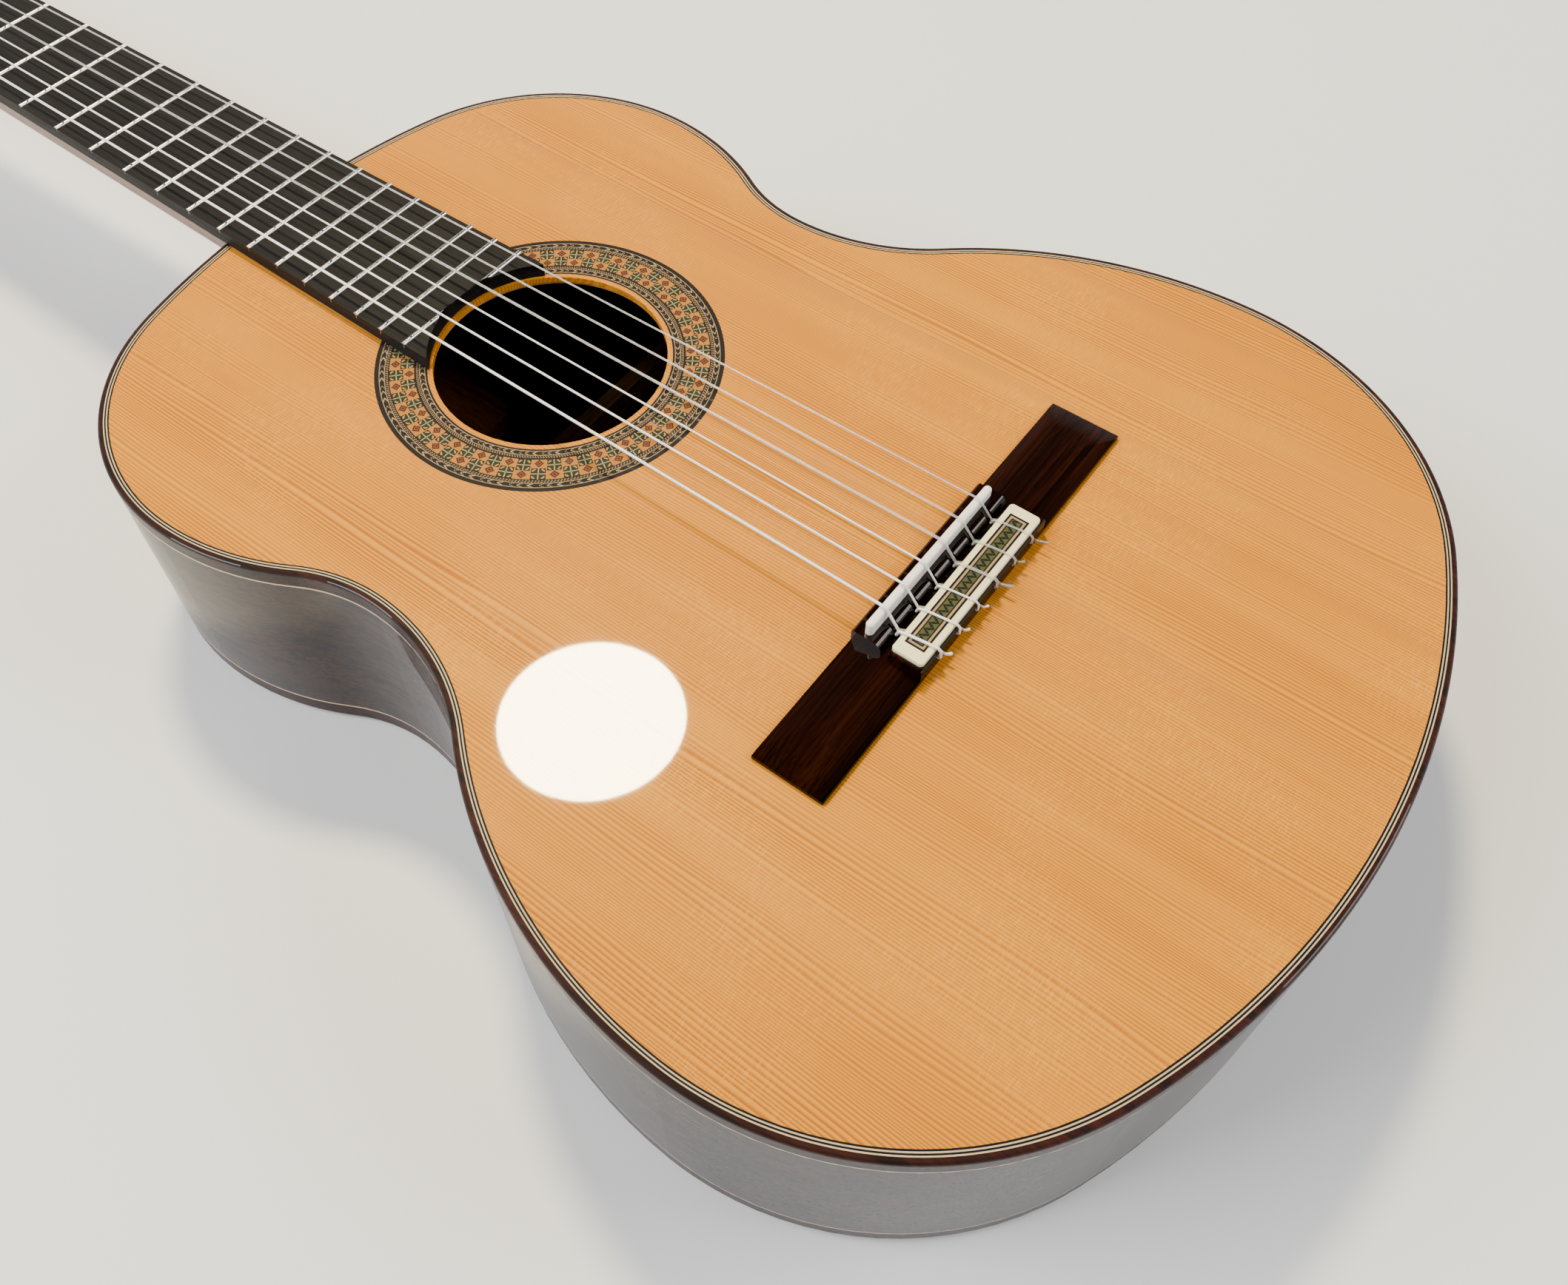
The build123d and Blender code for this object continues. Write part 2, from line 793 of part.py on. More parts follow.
# ------------------------------------------------------------------ bridge
bridge_front = down(bridge_front_drop)
bridge_rear = bridge_front - bridge_width
bridge_y = (bridge_front + bridge_rear) / 2
saddle_y = down(saddle_drop)
tie_front = down(tie_front_drop)
wing_height = 3.7
wing_edge = 2.0
wing_end = 1.6
wing_level_half = 62.0
saddle_block_height = 7.6
hump_top = (653.2, saddle_block_height)
hump_shoulder = (655.6, 7.0)
hump_foot = (656.9, 4.9)
channel_height = 3.4
notch_radius = 1.7
wing_bend = 0.88
string_dive = (1.8, 0.7)
saddle_middle = 12.7
saddle_slope = 0.024
tail_hole_shift = 2.6
slot_floor = 2.5
hole_bore = 0.9
bone_half = 37.5
bone_thickness = 1.6
bone_corner = 1.5
bone_round = 0.7
bone_rear_gap = 0.9
mosaic_half = 33.0
mosaic_width = 6.4
mosaic_depth = 0.8

def saddle_action(x):
    """Height of a string's underside above the soundboard at the saddle."""
    return saddle_middle - saddle_slope * x


def bridge_point(place):
    """Y and Z of a place given by its distance from the nut and its height on the soundboard."""
    return (down(place[0]), top_z + place[1])


with BuildPart() as bridge:
    with BuildSketch(Plane.YZ):
        with BuildLine():
            rear_edge = (bridge_rear, top_z + wing_edge)
            front_edge = (bridge_front, top_z + wing_edge)
            ThreePointArc(rear_edge, (bridge_y, top_z + wing_height), front_edge)
            Polyline(front_edge, (bridge_front, top_z), (bridge_rear, top_z), rear_edge)
        make_face()
    extrude(amount=bridge_half, both=True)
    with BuildSketch(Plane.XZ.offset(-bridge_front)):
        with BuildLine():
            left_end = (-bridge_half, top_z + wing_end)
            left_crown = (-wing_level_half, top_z + wing_height)
            right_crown = (wing_level_half, top_z + wing_height)
            right_end = (bridge_half, top_z + wing_end)
            Bezier(left_end, (-bridge_half * wing_bend, top_z + wing_height), left_crown)
            Line(left_crown, right_crown)
            Bezier(right_crown, (bridge_half * wing_bend, top_z + wing_height), right_end)
            Polyline(right_end, (bridge_half, top_z), (-bridge_half, top_z), left_end)
        make_face()
    extrude(amount=bridge_width, mode=Mode.INTERSECT)
    with BuildSketch(Plane.YZ):
        with BuildLine():
            Polyline(
                bridge_point(hump_foot),
                (down(hump_foot[0]), top_z + channel_height),
                (tie_front, top_z + channel_height),
                (tie_front, top_z + tie_height),
                (bridge_rear + 0.5, top_z + tie_height),
                (bridge_rear, top_z + tie_height - 0.5),
                (bridge_rear, top_z),
                (bridge_front, top_z),
                (bridge_front, top_z + saddle_block_height - 0.8),
                (bridge_front - 0.8, top_z + saddle_block_height),
                bridge_point(hump_top),
            )
            ThreePointArc(
                bridge_point(hump_top), bridge_point(hump_shoulder), bridge_point(hump_foot)
            )
        make_face()
    extrude(amount=block_half, both=True)
    with BuildSketch(Plane.XY.offset(top_z + slot_floor)):
        with Locations((0, saddle_y)):
            SlotOverall(2 * saddle_half, saddle_thickness)
    extrude(amount=2 * saddle_block_height, mode=Mode.SUBTRACT)
    for step in string_steps:
        x = step * bridge_spacing
        string_top = Vector(x, saddle_y, top_z + saddle_action(x))
        string_hole = Vector(x, tie_front + string_dive[0], top_z + tie_hole_height + string_dive[1])
        notch = Plane(origin=string_hole, z_dir=string_top - string_hole)
        with BuildSketch(notch):
            Circle(notch_radius)
        extrude(amount=(string_top - string_hole).length, mode=Mode.SUBTRACT)
        for hole_x in (x, x + tail_hole_shift):
            with Locations((hole_x, bridge_rear + 5, top_z + tie_hole_height)):
                Cylinder(hole_bore, 24, rotation=(90, 0, 0), mode=Mode.SUBTRACT)
finish(bridge, "bridge")


saddle_clearance = 0.55
saddle_round = 1.2

with BuildPart() as saddle:
    with BuildSketch(Plane.XY.offset(top_z + slot_floor)):
        with Locations((0, saddle_y)):
            SlotOverall(2 * saddle_half, saddle_thickness)
    extrude(amount=3 * saddle_block_height)
    saddle_crest = (0, saddle_y, top_z + saddle_action(0) - saddle_clearance)
    split(bisect_by=Plane(origin=saddle_crest, z_dir=(saddle_slope, 0, 1)), keep=Keep.BOTTOM)
    fillet(saddle.faces().sort_by(Axis.Z)[-1].edges(), radius=saddle_round)
finish(saddle, "saddle")

bone_y = (tie_front + bridge_rear + bone_rear_gap) / 2
bone_width = tie_front - bridge_rear - bone_rear_gap
bone_top = tie_height + bone_thickness
with BuildPart() as tie_block_bone:
    with BuildSketch(Plane.XY.offset(top_z + tie_height)):
        with Locations((0, bone_y)):
            Rectangle(2 * bone_half, bone_width)
    extrude(amount=bone_thickness)
    fillet(tie_block_bone.edges().filter_by(Axis.Z), radius=bone_corner)
    fillet(tie_block_bone.faces().sort_by(Axis.Z)[-1].edges(), radius=bone_round)
    with BuildSketch(Plane.XY.offset(top_z + bone_top)):
        with Locations((0, bone_y)):
            Rectangle(2 * mosaic_half, mosaic_width)
    extrude(amount=-mosaic_depth, mode=Mode.SUBTRACT)
finish(tie_block_bone, "tie_block_bone")

with BuildPart() as tie_block_mosaic:
    with BuildSketch(Plane.XY.offset(top_z + bone_top)):
        with Locations((0, bone_y)):
            Rectangle(2 * mosaic_half, mosaic_width)
    extrude(amount=-mosaic_depth)
finish(tie_block_mosaic, "tie_block_mosaic")

# ------------------------------------------------------------------ strings
string_gap = 0.35
saddle_bend = 0.9
hook_shift = 2.0
# Each string's roller (0 is nearest the nut) and its distance from the head's middle.
string_rollers = ((0, -16.5), (1, -14.5), (2, -11.5), (2, 11.5), (1, 14.5), (0, 16.5))


def string_points(index):
    """Centre line of a string, from its tie over the bridge to the top of its roller."""
    radius = string_radii[index]
    x = string_steps[index] * bridge_spacing
    over = top_z + bone_top + radius + 0.1
    behind = bridge_rear - radius - 0.3
    before = tie_front + radius + 0.3
    low = top_z + tie_hole_height
    place, roller_x = string_rollers[index]
    on_roller = (roller_x, roller_places[place], roller_radius + string_gap + radius - roller_depth)
    return [
        (x - hook_shift, before, over - 2.4),
        (x - hook_shift, before, over),
        (x - 0.2, behind, over),
        (x, behind, low),
        (x, tie_front + 1.2, low),
        (x, saddle_y - saddle_bend, top_z + saddle_action(x) + radius),
        (string_steps[index] * nut_spacing, nut_y + 0.5, top_z + nut_action + radius),
        head_plane.from_local_coords(on_roller),
    ]


string_bends = (0.9, 1.6, 1.6, 2.0, 3.0, 6.0)
for index, radius in enumerate(string_radii):
    with BuildPart() as string:
        with BuildLine() as route:
            FilletPolyline(*string_points(index), radius=list(string_bends))
        path = route.wires()[0]
        with BuildSketch(Plane(origin=path @ 0, z_dir=path % 0)):
            Circle(radius)
        sweep(path=path)
    print("string", 6 - index, "length", round(path.length, 1))
    finish(string, f"string_{6 - index}")

# ------------------------------------------------------------------ tuning machines
wheel_x = head_half + plate_thickness + worm_radius + 0.9
worm_core = 1.9
worm_tip = 3.4
worm_length = 4 * worm_lead
ear_gap = 0.4
thread_root = 0.2
thread_foot = 0.78
thread_crest = 0.28
shaft_head_radius = 2.4
shaft_head_height = 1.0
ear_thickness = 1.6
ear_start = worm_length / 2 + ear_gap
wheel_root = 4.5
wheel_tip = 6.3
plate_reach = (42.0, 148.0)
plate_width = 15.0
wheel_bore = 2.4
drum_end = head_half - 0.3
drum_start = 4.3
button_length = 16.0
button_width = 15.0
button_thickness = 8.0
button_corner = 6.5
button_top = roller_depth + ear_start + ear_thickness + 6.5


def side_plane(x, place):
    """Plane square to the X axis, its origin on a roller's axis, its y up the head's normal."""
    origin = head_plane.from_local_coords((x, place, -roller_depth))
    return Plane(origin=origin, x_dir=head_plane.y_dir, z_dir=(1, 0, 0))


def worm_plane(place, height):
    """Plane square to a worm's axis, height above the roller's level."""
    local = (wheel_x, place + centre_distance, height - roller_depth)
    return Plane(origin=head_plane.from_local_coords(local), x_dir=-head_plane.y_dir, z_dir=head_plane.z_dir)


def wheel_profile(turn):
    """Worm wheel's outline, turned by that many degrees."""
    pitch_turn = 360 / wheel_teeth
    corners = []
    for tooth in range(wheel_teeth):
        for reach, share in ((wheel_root, 0.32), (wheel_tip, 0.13)):
            corners.append((reach, (tooth - share) * pitch_turn + turn))
        for reach, share in ((wheel_tip, 0.13), (wheel_root, 0.32)):
            corners.append((reach, (tooth + share) * pitch_turn + turn))
    points = [(reach * cos(radians(a)), reach * sin(radians(a))) for reach, a in corners]
    with BuildSketch() as profile:
        Polygon(*points, align=None)
    return profile.sketch


def make_roller(place, string_radius, string_x):
    """Roller drum with its wound string end, worm wheel, shaft and wheel screw, treble side."""
    with BuildPart() as roller:
        with BuildSketch(side_plane(drum_start, place)):
            Circle(roller_radius)
        extrude(amount=drum_end - drum_start)
    with BuildPart() as wheel:
        wheel_start = wheel_x - wheel_thickness / 2
        with BuildSketch(side_plane(drum_end, place)):
            Circle(wheel_bore)
        extrude(amount=wheel_x - drum_end)
        with BuildSketch(side_plane(head_half + plate_thickness + 0.3, place)):
            Circle(wheel_root - 0.5)
        extrude(amount=wheel_x - head_half - plate_thickness - 0.3)
        lead_turn = degrees(atan2(worm_lead, 2 * pi * worm_radius)) * wheel_thickness / 2 / wheel_radius
        with BuildSketch(side_plane(wheel_start, place)):
            add(wheel_profile(-lead_turn))
        with BuildSketch(side_plane(wheel_start + wheel_thickness, place)):
            add(wheel_profile(lead_turn))
        loft(ruled=True)
    with BuildPart() as screw:
        with BuildSketch(side_plane(wheel_x + wheel_thickness / 2, place)):
            Circle(2.3)
        extrude(amount=1.2)
        with BuildSketch(side_plane(wheel_x + wheel_thickness / 2 + 0.7, place)):
            Rectangle(6, 0.6)
        extrude(amount=1, mode=Mode.SUBTRACT)
    with BuildPart() as coil:
        coil_radius = roller_radius + string_radius + 0.05
        coil_pitch = 2 * string_radius + 0.15
        coil_x = string_x + 2 * string_radius + 0.6
        start = head_plane.from_local_coords((coil_x, place, -roller_depth))
        with BuildLine() as turns:
            Helix(coil_pitch, 2.5 * coil_pitch, coil_radius, center=start, direction=(1, 0, 0))
        path = turns.wires()[0]
        with BuildSketch(Plane(origin=path @ 0, z_dir=path % 0)):
            Circle(string_radius)
        sweep(path=path, is_frenet=True)
    return Compound(children=[roller.part, wheel.part, screw.part, coil.part])


with BuildPart() as worm_form:
    # Built upright at the origin, with +X towards its wheel.
    shaft_high = ear_start + ear_thickness + ear_gap
    shaft_low = button_top - roller_depth
    with BuildSketch(Plane.XY.offset(-worm_length / 2)):
        Circle(worm_core)
    extrude(amount=worm_length)
    with BuildSketch(Plane.XY.offset(-shaft_low)):
        Circle(shaft_radius)
    extrude(amount=shaft_low + shaft_high)
    with BuildSketch(Plane.XY.offset(shaft_high)):
        Circle(shaft_head_radius)
    extrude(amount=shaft_head_height)
    with BuildSketch(Plane.XY.offset(-shaft_high)):
        Circle(shaft_head_radius)
    extrude(amount=-shaft_head_height)
    with BuildLine():
        thread_start = -worm_length / 2 + worm_lead / 2
        thread_path = Helix(
            worm_lead, worm_length - worm_lead, worm_core - thread_root, center=(0, 0, thread_start)
        )
    with BuildSketch(Plane(origin=thread_path @ 0, x_dir=(1, 0, 0), z_dir=thread_path % 0)):
        thread_reach = worm_tip - worm_core + thread_root
        Polygon(
            (0, -thread_foot),
            (thread_reach, -thread_crest),
            (thread_reach, thread_crest),
            (0, thread_foot),
            align=None,
        )
    sweep(path=thread_path, is_frenet=True)


def make_worm(place):
    """Worm with its thread and the shaft that carries the button, treble side."""
    return worm_plane(place, 0).location * worm_form.part


def make_button(place):
    """Oval button on the end of a worm's shaft, treble side."""
    with BuildPart() as button:
        middle = worm_plane(place, roller_depth - button_top - button_length / 2)
        broad = Plane(origin=middle.origin, x_dir=head_plane.y_dir, z_dir=(1, 0, 0))
        with BuildSketch(broad):
            RectangleRounded(button_width, button_length, radius=button_corner)
        extrude(amount=button_thickness / 2, both=True)
        fillet(button.faces().filter_by(Axis.X).edges(), radius=2.4)
    return button.part


with BuildPart() as tuner_plate:
    plate_start = (plate_reach[0] + plate_reach[1]) / 2
    with BuildSketch(side_plane(head_half, plate_start)):
        RectangleRounded(plate_reach[1] - plate_reach[0], plate_width, radius=4)
    extrude(amount=plate_thickness)
    for place in roller_places:
        for low in (ear_start, -ear_start - ear_thickness):
            with BuildSketch(worm_plane(place, low)):
                Circle(3.4)
            extrude(amount=ear_thickness)
            local = ((head_half + wheel_x) / 2 + 0.5, place + centre_distance, low - roller_depth)
            ear_plane = Plane(
                origin=head_plane.from_local_coords(local),
                x_dir=(1, 0, 0),
                z_dir=head_plane.z_dir,
            )
            with BuildSketch(ear_plane):
                Rectangle(wheel_x - head_half - 1, 6.8)
            extrude(amount=ear_thickness)
    for place in roller_places:
        with BuildSketch(worm_plane(place, -2 * worm_length)):
            Circle(shaft_radius + running_gap)
        extrude(amount=4 * worm_length, mode=Mode.SUBTRACT)
        with BuildSketch(side_plane(head_half, place)):
            Circle(wheel_bore + running_gap)
        extrude(amount=plate_thickness, mode=Mode.SUBTRACT)
    for place in screw_places:
        with BuildSketch(side_plane(head_half, place)):
            Circle(screw_radius)
        extrude(amount=plate_thickness, mode=Mode.SUBTRACT)

with BuildPart() as side_screws:
    for place in screw_places:
        with BuildSketch(side_plane(head_half + plate_thickness, place)):
            Circle(2.3)
        extrude(amount=1.0)
        with BuildSketch(side_plane(head_half + plate_thickness, place)):
            Circle(screw_radius)
        extrude(amount=-screw_length)
    chamfer(side_screws.faces().filter_by(Axis.X).sort_by(Axis.X)[-4:].edges(), length=0.5)

finish(tuner_plate, "tuner_plate_treble")
with BuildPart() as bass_tuner_plate:
    add(tuner_plate.part)
    mirror(about=Plane.YZ, mode=Mode.REPLACE)
finish(bass_tuner_plate, "tuner_plate_bass")

with BuildPart() as plate_screws:
    add(side_screws.part)
    mirror(about=Plane.YZ)
finish(plate_screws, "plate_screws")

for index, radius in enumerate(string_radii):
    place_index, string_x = string_rollers[index]
    place = roller_places[place_index]
    pieces = {
        "roller": make_roller(place, radius, abs(string_x)),
        "worm": make_worm(place),
        "button": make_button(place),
    }
    for kind, piece in pieces.items():
        with BuildPart() as machine_part:
            add(piece if string_x > 0 else mirror(piece, about=Plane.YZ))
        finish(machine_part, f"{kind}_{6 - index}")
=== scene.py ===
from math import acos, atan2, ceil, cos, pi, radians, sin, sqrt, tan

import bpy
from mathutils import Matrix, Vector


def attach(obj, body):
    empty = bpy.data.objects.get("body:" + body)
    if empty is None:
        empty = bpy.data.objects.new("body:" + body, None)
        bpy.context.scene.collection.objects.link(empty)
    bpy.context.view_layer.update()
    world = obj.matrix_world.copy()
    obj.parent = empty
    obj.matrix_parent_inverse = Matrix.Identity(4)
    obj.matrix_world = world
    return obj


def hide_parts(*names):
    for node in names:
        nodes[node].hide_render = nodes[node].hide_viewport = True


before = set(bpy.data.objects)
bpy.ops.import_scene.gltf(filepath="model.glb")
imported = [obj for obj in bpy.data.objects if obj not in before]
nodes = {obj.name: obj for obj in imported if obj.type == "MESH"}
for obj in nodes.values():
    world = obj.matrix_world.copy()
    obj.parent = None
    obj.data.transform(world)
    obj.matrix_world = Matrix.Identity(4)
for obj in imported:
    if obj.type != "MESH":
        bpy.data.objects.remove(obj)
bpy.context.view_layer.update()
BODY = "instrument"
MM = 0.001

# ------------------------------------------------------------------ sizes from part.py, in mm
scale_length = 650.0
body_length = 492.0
depth = 96.0
head_tilt = radians(15)
nut_thickness = 5.0
head_length = 190.0
side_width = 2.2
purfling_depth = 1.5
binding_height = 6.5
rosette_depth = 1.2
string_radii = (0.55, 0.45, 0.38, 0.51, 0.41, 0.36)
nut_spacing = 8.6
bridge_spacing = 11.6
nut_action = 7.9
tie_height = 7.0
bone_thickness = 1.6
tie_hole_height = 4.2
roller_radius = 4.93
roller_depth = 7.25
string_gap = 0.35
roller_places = (57.0, 92.0, 127.0)
string_rollers = ((0, -16.5), (1, -14.5), (2, -11.5), (2, 11.5), (1, 14.5), (0, 16.5))

joint_drop = scale_length / 2
tail_drop = joint_drop + body_length
nut_y = (tail_drop - nut_thickness - head_length * cos(head_tilt)) / 2


def down(drop):
    """Y of a place at that distance from the nut towards the tail."""
    return nut_y - drop


joint_y = down(joint_drop)
tail_y = down(tail_drop)
hole_y = down(478.0)
saddle_y = down(650.5)
tie_front = down(659.6)
bridge_rear = down(645.3 + 27.3)


def head_point(x, y, z):
    """Point of the tilted head, y along it from behind the nut and z off its top face."""
    c, s = cos(head_tilt), sin(head_tilt)
    return (x, nut_y + nut_thickness + y * c + z * s, depth - y * s + z * c)


# ------------------------------------------------------------------ body outline, as in part.py
lower, waist, upper = 186.5, 122.5, 145.5
lower_y, waist_y, upper_y = down(682.0), down(508.0), down(422.0)
tail_bend, lower_bend, upper_bend, shoulder_bend = 121, 181, 108, 90


def crown(side, rise, corner):
    return (side**2 + rise**2 - corner**2) / (2 * (rise - corner))


def waist_radius(half, y, radius):
    side, rise = half - radius - waist, y - waist_y
    return (side**2 + rise**2 - radius**2) / (2 * (radius + side))


tail_r = crown(lower - tail_bend, lower_y - tail_y, tail_bend)
top_r = crown(upper - shoulder_bend, joint_y - upper_y, shoulder_bend)
low_w = waist_radius(lower, lower_y, lower_bend)
high_w = waist_radius(upper, upper_y, upper_bend)
arcs = [
    (0, tail_y + tail_r, tail_r),
    (lower - tail_bend, lower_y, tail_bend),
    (lower - lower_bend, lower_y, lower_bend),
    (waist + low_w, waist_y, -low_w),
    (waist + high_w, waist_y, -high_w),
    (upper - upper_bend, upper_y, upper_bend),
    (upper - shoulder_bend, upper_y, shoulder_bend),
    (0, joint_y - top_r, top_r),
]


def bearing(i, j):
    return atan2(arcs[j][1] - arcs[i][1], arcs[j][0] - arcs[i][0])


turns = [-pi / 2, bearing(0, 1), 0, bearing(2, 3), 0, bearing(5, 4), 0, bearing(7, 6), pi / 2]


def outline_rays(step=3.0):
    """Points once round the body from the tail: place on the outline, and outward direction."""
    rays = []
    for arc, start, end in zip(arcs, turns, turns[1:]):
        count = max(2, ceil(abs(arc[2] * (end - start)) / step))
        for i in range(count):
            turn = start + (end - start) * i / count
            out = (cos(turn), sin(turn))
            rays.append(((arc[0] + arc[2] * out[0], arc[1] + arc[2] * out[1]), out))
    mirrored = [((-p[0], p[1]), (-o[0], o[1])) for p, o in rays[1:]]
    return rays + [((0, joint_y), (0, 1))] + mirrored[::-1]


# ------------------------------------------------------------------ mesh helpers


def piece(name, points, faces, materials, marks=None, body=BODY, smooth=False):
    """New mesh piece from points in mm, riding on a body; marks gives each face's material."""
    mesh = bpy.data.meshes.new(name)
    mesh.from_pydata([tuple(c * MM for c in p) for p in points], [], faces)
    for material in materials:
        mesh.materials.append(material)
    if marks:
        mesh.polygons.foreach_set("material_index", marks)
    if smooth:
        mesh.polygons.foreach_set("use_smooth", [True] * len(mesh.polygons))
    mesh.update()
    made = bpy.data.objects.new(name, mesh)
    bpy.context.scene.collection.objects.link(made)
    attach(made, body)
    return made


def edge_band(points, faces, profile, low=0.0, gap=31.0):
    """Adds a closed section swept round the body edge, open where the neck meets it."""
    rays = [r for r in outline_rays() if not (abs(r[0][0]) < gap and r[0][1] > upper_y)]
    split = next(i for i, r in enumerate(rays) if r[0][0] < 0 and r[0][1] > upper_y)
    rays = rays[split:] + rays[:split]
    base, n = len(points), len(profile)
    for (x, y), (ox, oy) in rays:
        for inset, z in profile:
            px, py = x - ox * inset, y - oy * inset
            points.append((px, py, z + low))
    count = len(rays)
    for i in range(count - 1):
        for k in range(n):
            a, b = base + i * n, base + (i + 1) * n
            faces.append((a + k, a + (k + 1) % n, b + (k + 1) % n, b + k))
    last = base + (count - 1) * n
    faces.append(tuple(range(base, base + n))[::-1])
    faces.append(tuple(range(last, last + n)))


def rounded_path(corners, bends, arc_step=radians(9)):
    """Points along straight runs joined by arcs of the given radii."""
    corners = [Vector(c) for c in corners]
    path = [corners[0]]
    for before, corner, after, bend in zip(corners, corners[1:], corners[2:], bends):
        u, v = (before - corner).normalized(), (after - corner).normalized()
        half = acos(max(-1, min(1, u.dot(v)))) / 2
        turn = pi - 2 * half
        if turn < radians(1):
            path.append(corner)
            continue
        middle = corner + (u + v).normalized() * bend / sin(half)
        start, end = corner + u * bend / tan(half), corner + v * bend / tan(half)
        a, b = start - middle, end - middle
        steps = max(2, ceil(turn / arc_step))
        for i in range(steps + 1):
            t = i / steps
            w = (sin((1 - t) * turn) * a + sin(t * turn) * b) / sin(turn) if turn < 3.1 else a.lerp(b, t)
            path.append(middle + w.normalized() * bend)
    return path + [corners[-1]]


def tube(points, faces, path, radius, sides=12):
    """Adds a round tube along a path, with closed ends."""
    base, rings = len(points), 0
    direction = (path[1] - path[0]).normalized()
    side = direction.orthogonal().normalized()
    for i, p in enumerate(path):
        ahead = (path[min(i + 1, len(path) - 1)] - path[max(i - 1, 0)]).normalized()
        side = (direction.rotation_difference(ahead) @ side).normalized()
        direction = ahead
        other = direction.cross(side)
        for k in range(sides):
            a = 2 * pi * k / sides
            points.append(tuple(p + (side * cos(a) + other * sin(a)) * radius))
        rings += 1
    for i in range(rings - 1):
        a, b = base + i * sides, base + (i + 1) * sides
        for k in range(sides):
            faces.append((a + k, a + (k + 1) % sides, b + (k + 1) % sides, b + k))
    faces.append(tuple(range(base, base + sides))[::-1])
    faces.append(tuple(range(base + (rings - 1) * sides, base + rings * sides)))


# ------------------------------------------------------------------ materials


class Shader:
    """A node material on a Principled shader, with short calls for its nodes."""

    def __init__(self, name, roughness=0.3, coat=0.0, metallic=0.0, **constants):
        self.material = bpy.data.materials.new(name)
        self.material.use_nodes = True
        self.tree = self.material.node_tree
        self.main = self.tree.nodes["Principled BSDF"]
        self.set("Roughness", roughness)
        self.set("Metallic", metallic)
        self.set("Coat Weight", coat)
        self.set("Coat Roughness", 0.03)
        for key, value in constants.items():
            self.set(key.replace("_", " "), value)
        self.place = self.node("ShaderNodeTexCoord").outputs["Object"]

    def set(self, socket, value):
        self.main.inputs[socket].default_value = value

    def node(self, kind, sockets=None, **settings):
        made = self.tree.nodes.new(kind)
        for key, value in settings.items():
            setattr(made, key, value)
        for key, value in (sockets or {}).items():
            if isinstance(value, bpy.types.NodeSocket):
                self.tree.links.new(value, made.inputs[key])
            else:
                made.inputs[key].default_value = value
        return made

    def math(self, operation, a, b=0.0):
        return self.node("ShaderNodeMath", {0: a, 1: b}, operation=operation).outputs[0]

    def scaled(self, scale, vector=None):
        """Coordinates in units of 1/scale of a millimetre, along each axis."""
        per_metre = [s / MM for s in scale]
        return self.node(
            "ShaderNodeMapping", {"Vector": vector or self.place, "Scale": per_metre}
        ).outputs[0]

    def noise(self, scale, detail=3.0, rough=0.55, vector=None):
        """Noise with that many cells per millimetre along each axis, from 0 to 1."""
        sockets = {"Vector": self.scaled(scale, vector), "Scale": 1.0, "Detail": detail, "Roughness": rough}
        return self.node("ShaderNodeTexNoise", sockets).outputs["Fac"]

    def ramp(self, value, *stops):
        """Colour ramp; each stop is a place and a grey or a colour."""
        made = self.node("ShaderNodeValToRGB", {"Fac": value})
        elements = made.color_ramp.elements
        while len(elements) < len(stops):
            elements.new(0.5)
        for element, (place, colour) in zip(elements, stops):
            element.position = place
            rgb = colour if isinstance(colour, tuple) else (colour,) * 3
            element.color = (*rgb, 1)
        return made.outputs["Color"]

    def mix(self, share, a, b, blend="MIX"):
        made = self.tree.nodes.new("ShaderNodeMix")
        made.data_type = "RGBA"
        made.blend_type = blend
        for index, value in ((0, share), (6, a), (7, b)):
            if isinstance(value, bpy.types.NodeSocket):
                self.tree.links.new(value, made.inputs[index])
            else:
                made.inputs[index].default_value = (*value, 1) if isinstance(value, tuple) else value
        return made.outputs[2]

    def colour(self, value):
        self.tree.links.new(value, self.main.inputs["Base Color"])

    def rough(self, value):
        self.tree.links.new(value, self.main.inputs["Roughness"])

    def bump(self, height, distance, strength=1.0):
        made = self.node(
            "ShaderNodeBump", {"Height": height, "Distance": distance * MM, "Strength": strength}
        )
        self.tree.links.new(made.outputs[0], self.main.inputs["Normal"])


